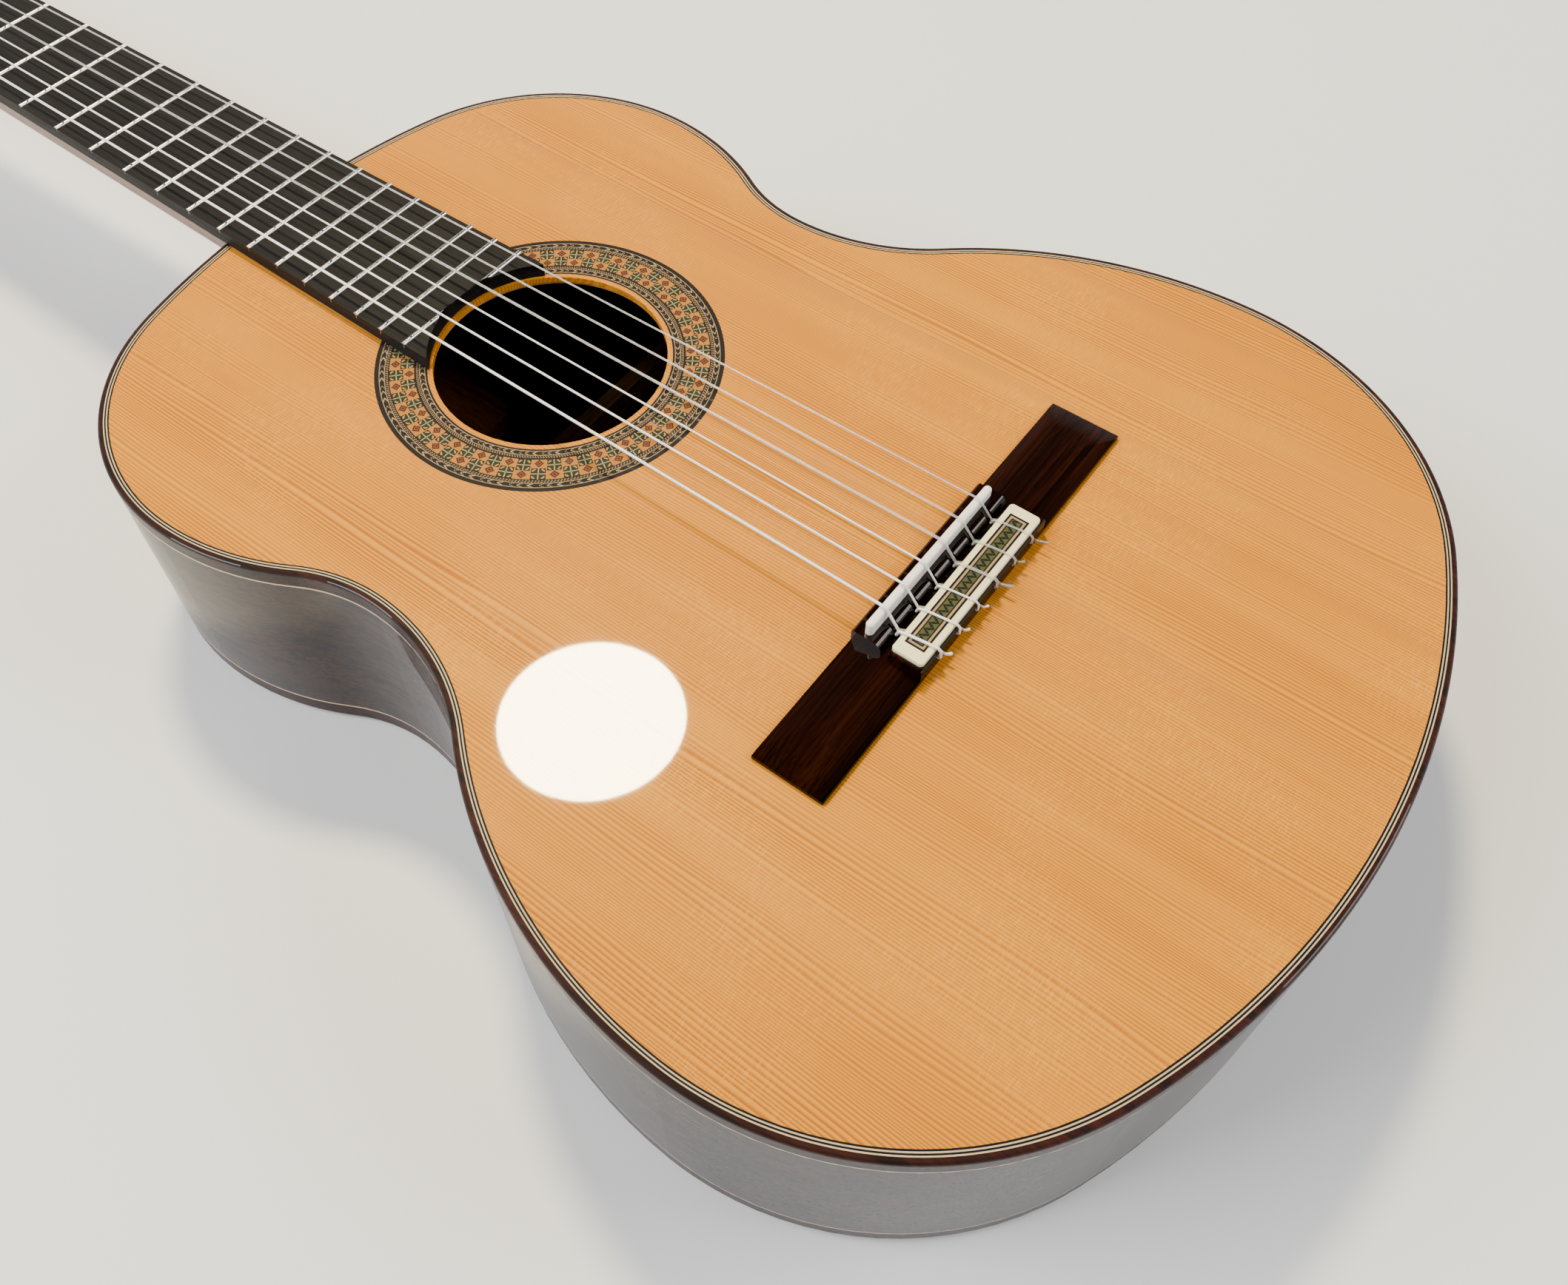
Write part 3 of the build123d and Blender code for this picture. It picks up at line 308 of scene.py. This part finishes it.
def spruce():
    """Book-matched spruce: fine growth rings along the body, cross silk, clear gloss."""
    s = Shader("spruce_gloss", roughness=0.45, coat=0.8, Specular_IOR_Level=0.08, Coat_Roughness=0.02)
    split = s.node("ShaderNodeSeparateXYZ", {0: s.place})
    across = s.math("ABSOLUTE", split.outputs[0])
    joined = s.node("ShaderNodeCombineXYZ", {0: across, 1: split.outputs[1], 2: split.outputs[2]}).outputs[0]
    wander = s.noise((0.02, 0.004, 0.02), 2, 0.5, joined)
    spacing = s.noise((0.03, 0.0008, 0.03), 3, 0.6, joined)
    rings = s.math("MULTIPLY", across, 1 / (1.25 * MM))
    rings = s.math("ADD", rings, s.math("MULTIPLY", wander, 5.0))
    rings = s.math("ADD", rings, s.math("MULTIPLY", spacing, 14.0))
    saw = s.math("FRACT", rings)
    line = s.ramp(saw, (0.0, 0.0), (0.35, 0.15), (0.72, 1.0), (0.93, 0.75), (1.0, 0.0))
    strength = s.ramp(s.noise((0.05, 0.003, 0.05), 3, 0.6, joined), (0.3, 0.45), (0.65, 1.0))
    line = s.math("MULTIPLY", line, strength)
    tone = s.ramp(s.noise((0.012, 0.0012, 0.012), 4, 0.6, joined), (0.35, 0.0), (0.65, 1.0))
    base = s.mix(tone, (0.65, 0.262, 0.014), (0.58, 0.215, 0.009))
    base = s.mix(line, base, (0.33, 0.090, 0.003))
    silk = s.noise((0.22, 3.2, 0.22), 3, 0.6)
    patch = s.ramp(s.noise((0.02, 0.015, 0.02), 2, 0.5), (0.42, 0.0), (0.62, 1.0))
    silk = s.math("MULTIPLY", s.ramp(silk, (0.5, 0.0), (0.72, 1.0)), patch)
    base = s.mix(s.math("MULTIPLY", silk, 0.5), base, (0.90, 0.42, 0.05))
    streak = s.ramp(s.noise((0.06, 0.0015, 0.06), 2, 0.5), (0.63, 0.0), (0.74, 1.0))
    base = s.mix(s.math("MULTIPLY", streak, 0.3), base, (0.40, 0.15, 0.03))
    s.colour(base)
    s.rough(s.ramp(line, (0.0, 0.42), (1.0, 0.55)))
    s.bump(s.math("ADD", line, s.noise((0.9, 0.1, 0.9), 2)), 0.012, 0.5)
    return s.material


def straight_wood(
    name, pale, middle, dark, roughness=0.3, coat=0.8, grain="y", pores=0.5, bump=0.02, specular=0.1
):
    """Hardwood with long streaks and pores along one axis."""
    s = Shader(name, roughness=roughness, coat=coat, Specular_IOR_Level=specular)
    along = {"x": 0, "y": 1, "z": 2}[grain]

    def stretched(fine, long):
        return tuple(long if axis == along else fine for axis in range(3))

    wide = s.noise(stretched(0.09, 0.004), 4, 0.62)
    fine = s.noise(stretched(0.9, 0.02), 4, 0.6)
    pore = s.ramp(s.noise(stretched(2.6, 0.12), 2, 0.5), (0.56, 0.0), (0.66, 1.0))
    base = s.mix(s.ramp(wide, (0.32, 0.0), (0.62, 1.0)), middle, pale)
    base = s.mix(s.ramp(fine, (0.4, 0.0), (0.72, 0.85)), base, dark)
    bands = s.ramp(s.noise(stretched(0.22, 0.003), 3, 0.6), (0.53, 0.0), (0.60, 0.8))
    base = s.mix(bands, base, dark)
    base = s.mix(s.math("MULTIPLY", pore, pores), base, tuple(c * 0.45 for c in dark))
    s.colour(base)
    s.rough(s.ramp(fine, (0.0, roughness * 0.85), (1.0, min(1.0, roughness * 1.3))))
    s.bump(s.math("SUBTRACT", fine, pore), bump, 0.6)
    return s.material


def plain(name, colour, roughness=0.35, coat=0.0, metallic=0.0, spread=0.12, cells=0.5, bump=0.01, **more):
    """Near-even surface with a faint mottle, micro wear and a trace of bump."""
    s = Shader(name, roughness=roughness, coat=coat, metallic=metallic, **more)
    mottle = s.noise((cells,) * 3, 4, 0.6)
    darker = tuple(c * (1 - spread) for c in colour)
    lighter = tuple(min(1.0, c * (1 + spread)) for c in colour)
    s.colour(s.mix(mottle, darker, lighter))
    wear = s.noise((cells * 5,) * 3, 3, 0.6)
    s.rough(s.ramp(wear, (0.25, max(0.02, roughness * 0.75)), (0.8, min(1.0, roughness * 1.3))))
    s.bump(wear, bump, 0.4)
    return s.material


def brushed(name, colour, axis, roughness=0.25, bump=0.006, metallic=1.0):
    """Metal with fine polishing lines along one axis."""
    s = Shader(name, roughness=roughness, metallic=metallic)
    scale = [6.0] * 3
    scale["xyz".index(axis)] = 0.15
    lines = s.noise(scale, 3, 0.6)
    stain = s.noise((0.15,) * 3, 4, 0.6)
    s.colour(s.mix(stain, tuple(c * 0.86 for c in colour), colour))
    s.rough(s.ramp(lines, (0.2, roughness * 0.7), (0.8, roughness * 1.4)))
    s.bump(lines, bump, 0.5)
    return s.material


def wound_metal(name):
    """Silver-plated winding of a bass string: close turns across the string, with painted shade in the
    grooves and a painted highlight on the crowns.
    """
    s = Shader(name, roughness=0.35, metallic=0.35)
    split = s.node("ShaderNodeSeparateXYZ", {0: s.place})
    turn = s.math("FRACT", s.math("MULTIPLY", split.outputs[1], 1 / (0.32 * MM)))
    wire_height_and_painted_shade = s.math("SINE", s.math("MULTIPLY", turn, pi))
    # Colour darker in the grooves between turns and lighter on each crown: painted shade and painted
    # highlight, on top of the bump.
    s.colour(s.mix(wire_height_and_painted_shade, (0.66, 0.65, 0.62), (0.97, 0.96, 0.94)))
    s.bump(wire_height_and_painted_shade, 0.05, 0.6)
    return s.material


def clear_nylon():
    s = Shader("clear_nylon", roughness=0.25, IOR=1.45, Transmission_Weight=0.8)
    haze = s.noise((0.6, 0.05, 0.6), 3, 0.5)
    s.colour(s.mix(haze, (0.92, 0.90, 0.85), (0.97, 0.96, 0.93)))
    s.bump(haze, 0.004, 0.3)
    return s.material


def pearl():
    """Pearloid button: soft swirling layers under a gloss."""
    s = Shader("pearloid", roughness=0.22, coat=0.8)
    warp = s.node("ShaderNodeTexNoise", {"Vector": s.scaled((0.12,) * 3), "Scale": 1.0, "Detail": 2.0})
    bent_inputs = {0: s.scaled((0.25,) * 3), 1: warp.outputs["Color"]}
    bent = s.node("ShaderNodeVectorMath", bent_inputs, operation="ADD")
    bands = s.node(
        "ShaderNodeTexWave",
        {"Vector": bent.outputs[0], "Scale": 0.9, "Distortion": 9.0, "Detail": 3.0},
    ).outputs["Fac"]
    creamy, pale, white = (0.70, 0.66, 0.58), (0.86, 0.83, 0.76), (0.95, 0.94, 0.90)
    s.colour(s.ramp(bands, (0.0, creamy), (0.5, pale), (1.0, white)))
    s.bump(bands, 0.01, 0.3)
    return s.material


def inlay(name, colour, spread=0.3, cells=1.6, coat=0.8):
    """Plain or dyed wood of the lines and tiles, under the same gloss as the top."""
    return plain(name, colour, 0.5, coat, Specular_IOR_Level=0.1, spread=spread, cells=cells)


mat_spruce = spruce()
mat_rosewood = straight_wood(
    "rosewood_bridge",
    (0.0180, 0.0040, 0.0012),
    (0.0024, 0.0006, 0.0003),
    (0.0003, 0.0001, 0.0001),
    roughness=0.5,
    coat=0.6,
    grain="x",
    specular=0.0,
)
mat_body_wood = straight_wood(
    "rosewood_sides",
    (0.034, 0.012, 0.006),
    (0.015, 0.0055, 0.0035),
    (0.004, 0.0018, 0.0014),
    roughness=0.5,
    coat=0.55,
    pores=0.35,
    bump=0.008,
)
mat_binding = straight_wood(
    "binding_wood",
    (0.034, 0.007, 0.004),
    (0.016, 0.0035, 0.0022),
    (0.005, 0.0014, 0.001),
    roughness=0.5,
    coat=0.35,
    pores=0.3,
    bump=0.006,
)
mat_cedar = straight_wood(
    "neck_cedar",
    (0.20, 0.060, 0.018),
    (0.14, 0.038, 0.011),
    (0.06, 0.015, 0.005),
    roughness=0.45,
    pores=0.6,
)
mat_ebony = straight_wood(
    "ebony",
    (0.011, 0.0100, 0.0098),
    (0.0065, 0.006, 0.0058),
    (0.0025, 0.0022, 0.002),
    roughness=0.5,
    coat=0.0,
    bump=0.015,
)
mat_inner = straight_wood(
    "inner_spruce",
    (0.48, 0.26, 0.10),
    (0.40, 0.20, 0.07),
    (0.24, 0.10, 0.03),
    roughness=0.7,
    coat=0.0,
    pores=0.2,
)
mat_bars = straight_wood(
    "inner_bars",
    (0.46, 0.25, 0.10),
    (0.38, 0.19, 0.07),
    (0.23, 0.10, 0.03),
    roughness=0.7,
    coat=0.0,
    grain="x",
    pores=0.2,
)
mat_bone = plain(
    "bone",
    (0.90, 0.86, 0.76),
    0.28,
    0.3,
    spread=0.05,
    cells=0.25,
    Subsurface_Weight=0.12,
    Subsurface_Radius=(0.002, 0.0015, 0.001),
)
mat_bone_warm = plain("bone_warm", (0.86, 0.76, 0.42), 0.28, 0.4, spread=0.05, cells=0.25)
mat_frets = brushed("nickel_silver", (0.43, 0.42, 0.39), "x", 0.16)
mat_brass = brushed("gilt_brass", (0.83, 0.62, 0.30), "y", 0.24)
mat_steel = brushed("steel", (0.72, 0.72, 0.72), "z", 0.3)
mat_wound = wound_metal("wound_string")
mat_nylon = clear_nylon()
mat_pearl = pearl()
mat_white_line = inlay("maple_line", (0.50, 0.38, 0.22), 0.1, 0.8)
mat_black_line = inlay("dyed_line", (0.005, 0.004, 0.005), 0.3, 0.8)
mat_tile_cream = inlay("tile_cream", (0.33, 0.22, 0.10), 0.25)
mat_tile_straw = inlay("tile_straw", (0.36, 0.145, 0.022), 0.12, 0.6)
mat_tile_brown = inlay("tile_brown", (0.020, 0.006, 0.001))
mat_tile_red = inlay("tile_red", (0.040, 0.006, 0.002))
mat_tile_pink = inlay("tile_pink", (0.20, 0.07, 0.035))
mat_tile_green = inlay("tile_green", (0.010, 0.020, 0.007))
mat_tile_olive = inlay("tile_olive", (0.055, 0.062, 0.018), coat=0.5)
# The letters stand for the woods in the patterns of the rosette and the tie block.
tiles = {
    "O": mat_tile_olive,
    "K": mat_black_line,
    "W": mat_tile_cream,
    "Y": mat_tile_straw,
    "B": mat_tile_brown,
    "R": mat_tile_red,
    "P": mat_tile_pink,
    "G": mat_tile_green,
}
letters = list(tiles)
tile_materials = list(tiles.values())

# ------------------------------------------------------------------ CAD nodes keep their shape
looks = {
    "soundboard": mat_spruce,
    "soundhole_patch": mat_inner,
    "harmonic_bars": mat_bars,
    "fan_struts": mat_inner,
    "back_plate": mat_body_wood,
    "back_centre_strip": mat_bars,
    "back_bars": mat_bars,
    "bass_side": mat_body_wood,
    "treble_side": mat_body_wood,
    "end_graft": mat_binding,
    "top_linings": mat_inner,
    "back_linings": mat_inner,
    "tail_block": mat_inner,
    "side_purfling_lines": mat_white_line,
    "back_binding": mat_binding,
    "neck": mat_cedar,
    "heel": mat_cedar,
    "heel_cap": mat_binding,
    "headstock": mat_cedar,
    "head_veneer": mat_body_wood,
    "fingerboard": mat_ebony,
    "frets": mat_frets,
    "nut": mat_bone,
    "bridge": mat_rosewood,
    "saddle": mat_bone,
    "tie_block_bone": mat_bone_warm,
    "tuner_plate_treble": mat_brass,
    "tuner_plate_bass": mat_brass,
    "plate_screws": mat_brass,
}
for n in range(1, 7):
    looks[f"worm_{n}"] = mat_brass
    looks[f"button_{n}"] = mat_pearl
    looks[f"roller_{n}"] = mat_bone
for name, material in looks.items():
    mesh = nodes[name].data
    mesh.materials.clear()
    mesh.materials.append(material)


def soften(name, width, segments=3, angle=28):
    """Rounds a CAD node's sharp edges with a modifier, so edges catch the light."""
    bevel = nodes[name].modifiers.new("edge", "BEVEL")
    bevel.width = width * MM
    bevel.segments = segments
    bevel.limit_method = "ANGLE"
    bevel.angle_limit = radians(angle)
    bevel.harden_normals = False


# The roller nodes hold drum, wheel, screw and the string's coil: each takes its own material.
wheel_start, screw_start = 36, 43.5
for n, (place_index, _) in zip(range(6, 0, -1), string_rollers):
    node = nodes[f"roller_{n}"]
    string = mat_wound if n > 3 else mat_nylon
    for material in (mat_brass, mat_steel, string):
        node.data.materials.append(material)
    centre = Vector(head_point(0, roller_places[place_index], -roller_depth))
    for face in node.data.polygons:
        at = Vector(face.center) / MM
        out = sqrt((at.y - centre.y) ** 2 + (at.z - centre.z) ** 2)
        if abs(at.x) > wheel_start:
            face.material_index = 2 if abs(at.x) > screw_start else 1
        elif out > roller_radius + 0.02:
            face.material_index = 3

# ------------------------------------------------------------------ edge of the soundboard
edge_round = 1.1
round_steps = 4
binding_gap = 26
binding_profile = [(side_width, 0), (side_width, -binding_height), (0, -binding_height)]
for i in range(round_steps + 1):
    t = i * pi / 2 / round_steps
    binding_profile.append((edge_round - edge_round * cos(t), -edge_round + edge_round * sin(t)))
points, faces = [], []
edge_band(points, faces, binding_profile, depth, binding_gap)
binding = piece("top_binding_wood", points, faces, [mat_binding])
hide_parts("top_binding")

points, faces, marks = [], [], []
inset = side_width
light_line, dark_line = (0.45, 1), (0.6, 0)
for width, mark in (light_line, dark_line, light_line, dark_line):
    before = len(faces)
    edge_band(
        points,
        faces,
        [(inset, 0), (inset, -purfling_depth), (inset + width, -purfling_depth), (inset + width, 0)],
        depth,
    )
    marks += [mark] * (len(faces) - before)
    inset += width
purfling = piece("top_purfling_lines", points, faces, [mat_black_line, mat_white_line], marks)
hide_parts("top_purfling")

# ------------------------------------------------------------------ rosette


def tile_ring(name, bands, columns, node):
    """Ring of inlaid wood tiles; bands lists (inner r, outer r, function of column -> letter)."""
    points, faces, marks = [], [], []
    radii = [bands[0][0]] + [outer for _, outer, _ in bands]
    for radius in radii:
        for c in range(columns):
            a = 2 * pi * c / columns
            points.append((radius * cos(a), hole_y + radius * sin(a), depth))
    for r, (_, _, letter) in enumerate(bands):
        for c in range(columns):
            n = (c + 1) % columns
            faces.append((r * columns + c, (r + 1) * columns + c, (r + 1) * columns + n, r * columns + n))
            marks.append(letters.index(letter(c)))
    low = len(points)
    for radius in (radii[0], radii[-1]):
        for c in range(columns):
            a = 2 * pi * c / columns
            points.append((radius * cos(a), hole_y + radius * sin(a), depth - rosette_depth))
    top_outer = (len(radii) - 1) * columns
    for c in range(columns):
        n = (c + 1) % columns
        faces.append((c, n, low + n, low + c))
        faces.append((top_outer + c, low + columns + c, low + columns + n, top_outer + n))
        faces.append((low + c, low + n, low + columns + n, low + columns + c))
        marks += [0, 0, 0]
    ring = piece(name, points, faces, tile_materials, marks)
    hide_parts(node)


ring_outer, mosaic_outer, mosaic_inner, ring_inner = 67.0, 61.5, 51.5, 47.0
arrow_repeats = 37
arrow_row = "WWW" + "K" * 12 + "W" + "K" * 8 + "WW" + "K" * 10
border_columns = arrow_repeats * len(arrow_row)


def border_bands(start, direction):
    """Bands of an arrow border from the mosaic outwards or inwards, each a few tenths wide."""
    plan = [(0.35, lambda c: "K"), (0.3, lambda c: "KW"[c // 2 % 2]), (0.25, lambda c: "K")]
    plan += [(0.25, lambda c: "KW"[(c + 1) // 2 % 2]), (0.35, lambda c: "K"), (0.25, lambda c: "W")]
    for row in range(6):
        lag = abs(row - 2.5)
        plan.append((0.29, lambda c, lag=lag: arrow_row[int(c - lag * 1.7) % len(arrow_row)]))
    plan += [(0.25, lambda c: "W")]
    bands, at = [], start
    for width, letter in plan:
        bands.append((at, at + direction * width, letter))
        at += direction * width
    edge = ring_outer if direction > 0 else ring_inner
    bands.append((at, edge, lambda c: "K"))
    if direction < 0:
        bands = [(b, a, letter) for a, b, letter in reversed(bands)]
    return bands


cross_quarter = ["BBBBBB", "BBWWGG", "BWWGGG", "BWGGGG", "BGGGGG", "BGGGGG"]
diamond = [
    "....R....",
    "...RRR...",
    "..RRPRR..",
    ".RRPRPRR.",
    "RRPRRRPRR",
    ".RRPRPRR.",
    "..RRPRR..",
    "...RRR...",
    "....R....",
]
mosaic_repeats = 31
tile_columns = 14
diamond_start = 2
cross_rows, diamond_rows = 13, 10


def cross_letter(row, column):
    """Letter of the cross tile: four framed squares round a pale cross."""
    last = cross_rows - 1
    if row == column == last // 2:
        return "G"
    if last // 2 in (row, column):
        return "W"
    return cross_quarter[min(row, last - row)][min(column, last - column)]


def mosaic_letter(row, column):
    """Letter of the mosaic at a row, counted outwards, and a column round the ring."""
    turn, within = column // tile_columns % 2, column % tile_columns
    if turn == 0:
        is_cross, at = row < cross_rows, row if row < cross_rows else row - cross_rows
    else:
        is_cross, at = row >= diamond_rows, row if row < diamond_rows else row - diamond_rows
    if is_cross:
        return cross_letter(at, within) if within < cross_rows else "Y"
    if at == len(diamond) or not 0 <= within - diamond_start < len(diamond):
        return "Y"
    return diamond[at][within - diamond_start].replace(".", "Y")


mosaic_low, mosaic_high = 51.95, 61.35
pitch = (mosaic_high - mosaic_low) / (cross_rows + diamond_rows)
mosaic_bands = [(mosaic_inner, mosaic_low, lambda c: "K")]
for row in range(cross_rows + diamond_rows):
    mosaic_bands.append(
        (mosaic_low + row * pitch, mosaic_low + (row + 1) * pitch, lambda c, row=row: mosaic_letter(row, c))
    )
mosaic_bands.append((mosaic_high, mosaic_outer, lambda c: "K"))
tile_ring("rosette_outer_arrows", border_bands(mosaic_outer, 1), border_columns, "rosette_outer_border")
tile_ring("rosette_tiles", mosaic_bands, mosaic_repeats * 2 * tile_columns, "rosette_mosaic")
tile_ring("rosette_inner_arrows", border_bands(mosaic_inner, -1), border_columns, "rosette_inner_border")

# ------------------------------------------------------------------ marquetry of the tie block
bone_setback = 0.9
inlay_rise = 0.03
bone_y = (tie_front + bridge_rear + bone_setback) / 2
mosaic_top = depth + tie_height + bone_thickness + inlay_rise
half_long, half_wide = 33.0, 3.8
zigzag = 10
points, faces, marks = [], [], []


def flat_tile(x0, x1, y0, y1, letter):
    """One tile of the inlay's top, y counted from the middle of the bone plate."""
    base = len(points)
    for x, y in ((x0, y0), (x1, y0), (x1, y1), (x0, y1)):
        points.append((x, bone_y + y, mosaic_top))
    faces.append((base, base + 1, base + 2, base + 3))
    marks.append(letters.index(letter))


frames = ((0.0, 0.8, "K"), (0.8, 1.55, "W"), (1.55, 2.05, "K"))
strip_edge = frames[-1][1]
for near, far, letter in frames:
    for side in (-1, 1):
        ys = sorted((side * (half_wide - near), side * (half_wide - far)))
        flat_tile(-half_long + near, half_long - near, ys[0], ys[1], letter)
        xs = sorted((side * (half_long - near), side * (half_long - far)))
        flat_tile(xs[0], xs[1], -half_wide + far, half_wide - far, letter)
rows = 9
cell_length = 0.29
line_half = 1.9
strip_half = half_wide - strip_edge
row_width = 2 * strip_half / rows
columns = int(2 * (half_long - strip_edge) / cell_length)
cell = 2 * (half_long - strip_edge) / columns
for c in range(columns):
    for r in range(rows):
        wave = abs(c % zigzag - zigzag / 2) / (zigzag / 2) * (rows - 3) + 1
        letter = "K" if abs(r - wave) < line_half else "O"
        x0 = -half_long + strip_edge + c * cell
        y0 = -strip_half + r * row_width
        flat_tile(x0, x0 + cell, y0, y0 + row_width, letter)
low = len(points)
inlay_depth = 0.8
for z in (mosaic_top, mosaic_top - inlay_depth):
    for x, y in ((-1, -1), (1, -1), (1, 1), (-1, 1)):
        points.append((x * half_long, bone_y + y * half_wide, z))
for k in range(4):
    faces.append((low + k, low + 4 + k, low + 4 + (k + 1) % 4, low + (k + 1) % 4))
    marks.append(0)
faces.append((low + 7, low + 6, low + 5, low + 4))
marks.append(0)
marquetry = piece("tie_block_marquetry", points, faces, tile_materials, marks)
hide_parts("tie_block_mosaic")

# ------------------------------------------------------------------ strings
saddle_bend = 0.9
saddle_middle, saddle_slope = 12.7, 0.024
nut_bend = 0.5
# The tied end goes over the bone hook_shift to the left of its string, and leaves by a hole to its right.
hook_shift, tail_shift = 2.0, 2.6
over_gap, behind_gap, front_gap = 0.05, 0.25, 0.3
tail_lengths = (2.4, 2.0, 2.2, 4.6, 2.2, 5.0)
# Radii of the bends, from the loose tail to the nut.
bends = (1.2, 1.0, 1.0, 0.9, 0.9, 0.7, 0.7, 0.9, 1.0, 0.9, 1.2, 2.0, 3.0, 6.0)


def saddle_action(x):
    """Height of the saddle's top over the soundboard, lower towards the trebles."""
    return saddle_middle - saddle_slope * x


for index, radius in enumerate(string_radii):
    n = 6 - index
    step = index - 2.5
    x = step * bridge_spacing
    over = depth + tie_height + bone_thickness + radius + over_gap
    behind = bridge_rear - radius - behind_gap
    front = tie_front + radius + front_gap
    low = depth + tie_hole_height
    hook = x - hook_shift
    tail_x = x + tail_shift
    place, roller_x = string_rollers[index]
    end = head_point(roller_x, roller_places[place], roller_radius + string_gap + radius - roller_depth)
    route = [
        # loose tail, out of the hole behind the tie block
        (tail_x + 0.8, behind - tail_lengths[index], low + 0.8),
        (tail_x + 0.1, behind - 0.9, low - 0.3),
        # through that hole to the front
        (tail_x, behind + 1.5, low - 0.4),
        (tail_x, front - 0.2, low - 0.3),
        # round in front of the tie block and up to the bone
        (x + 1.0, front + 1.7, low + 0.6),
        (hook, front + 1.2, low + 1.6),
        (hook, front + 0.3, over - 0.6),
        # over the bone and down behind it
        (hook + 0.3, tie_front - 1.2, over),
        (x - 0.2, behind + 1.2, over),
        (x + 0.2, behind - 0.1, over - 1.6),
        # forward through the string's own hole, over saddle and nut to the roller
        (x, behind - 0.1, low),
        (x, tie_front + 1.2, low),
        (x, saddle_y - saddle_bend, depth + saddle_action(x) + radius),
        (step * nut_spacing, nut_y + nut_bend, depth + nut_action + radius),
        end,
    ]
    points, faces = [], []
    tube(points, faces, rounded_path(route, bends), radius)
    string = piece(f"string_{n}_line", points, faces, [mat_wound if n > 3 else mat_nylon], smooth=True)
    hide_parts(f"string_{n}")

# Width of the softened edges of each, in mm.
for name, width in (
    ("bridge", 0.35),
    ("saddle", 0.2),
    ("tie_block_bone", 0.2),
    ("nut", 0.2),
    ("fingerboard", 0.25),
    ("head_veneer", 0.3),
    ("headstock", 0.4),
    ("heel_cap", 0.3),
):
    soften(name, width)

# ------------------------------------------------------------------ floor, light and camera
floor_mesh = bpy.data.meshes.new("floor")
floor_reach = 6
floor_corners = [(x * floor_reach, y * floor_reach, 0) for x, y in ((-1, -1), (1, -1), (1, 1), (-1, 1))]
floor_mesh.from_pydata(floor_corners, [], [(0, 1, 2, 3)])
floor = bpy.data.objects.new("floor", floor_mesh)
bpy.context.scene.collection.objects.link(floor)
floor_look = Shader("floor_pale", roughness=0.45)
cloud = floor_look.noise((0.004,) * 3, 3)
floor_look.colour(floor_look.mix(cloud, (0.76, 0.76, 0.755), (0.80, 0.80, 0.795)))
floor_mesh.materials.append(floor_look.material)

world = bpy.data.worlds.new("studio")
bpy.context.scene.world = world
world.use_nodes = True
sky = world.node_tree
backdrop = sky.nodes["Background"]
ray = sky.nodes.new("ShaderNodeTexCoord")
height = sky.nodes.new("ShaderNodeSeparateXYZ")
fade = sky.nodes.new("ShaderNodeValToRGB")
sky.links.new(ray.outputs["Generated"], height.inputs[0])
sky.links.new(height.outputs[2], fade.inputs["Fac"])
sky.links.new(fade.outputs["Color"], backdrop.inputs["Color"])
stops = (
    (0.0, (0.98, 0.98, 1.0)),
    (0.33, (0.82, 0.83, 0.86)),
    (0.60, (0.06, 0.06, 0.064)),
    (1.0, (0.01, 0.01, 0.011)),
)
while len(fade.color_ramp.elements) < len(stops):
    fade.color_ramp.elements.new(0.5)
for element, (at, colour) in zip(fade.color_ramp.elements, stops):
    element.position = at
    element.color = (*colour, 1)
backdrop.inputs["Strength"].default_value = 1.6


def area_light(name, place, target, size, power, shape="RECTANGLE", colour=(1, 1, 1)):
    light = bpy.data.lights.new(name, "AREA")
    light.shape = shape
    light.size, light.size_y = size
    light.energy = power
    light.color = colour
    made = bpy.data.objects.new(name, light)
    made.location = place
    made.rotation_mode = "QUATERNION"
    made.rotation_quaternion = (Vector(target) - Vector(place)).to_track_quat("-Z", "Y")
    bpy.context.scene.collection.objects.link(made)
    return made


area_light("overhead", (-1.7, 1.3, 2.3), (0, -0.2, 0), (1.6, 1.6), 128)
area_light("fill", (1.5, -2.4, 2.4), (0, -0.2, 0), (1.6, 1.6), 82)
lamp_place, lamp_target = (0.728, 0.742, 2.296), (-0.113, -0.283, 0.096)
area_light("round_box", lamp_place, lamp_target, (0.40, 0.33), 90, "ELLIPSE", (1.0, 0.84, 0.50))

lens_px = 1907.75
frame_px = (2118, 1736)
centre_px = (1034.38, 792.38)
camera_data = bpy.data.cameras.new("camera")
camera_data.sensor_width = 36
camera_data.lens = lens_px / frame_px[0] * 36
camera_data.shift_x = (frame_px[0] / 2 - centre_px[0]) / frame_px[0]
camera_data.shift_y = (centre_px[1] - frame_px[1] / 2) / frame_px[0]
camera_data.clip_start = 0.02
camera = bpy.data.objects.new("camera", camera_data)
bpy.context.scene.collection.objects.link(camera)
right = Vector((0.59974, -0.80019, -0.00179))
up = Vector((0.64976, 0.48568, 0.58475))
back = Vector((-0.46704, -0.35186, 0.81121))
turn = Matrix((right, up, back)).transposed()
camera.matrix_world = Matrix.Translation((-0.26105, -0.46356, 0.48440)) @ turn.to_4x4()
bpy.context.scene.camera = camera
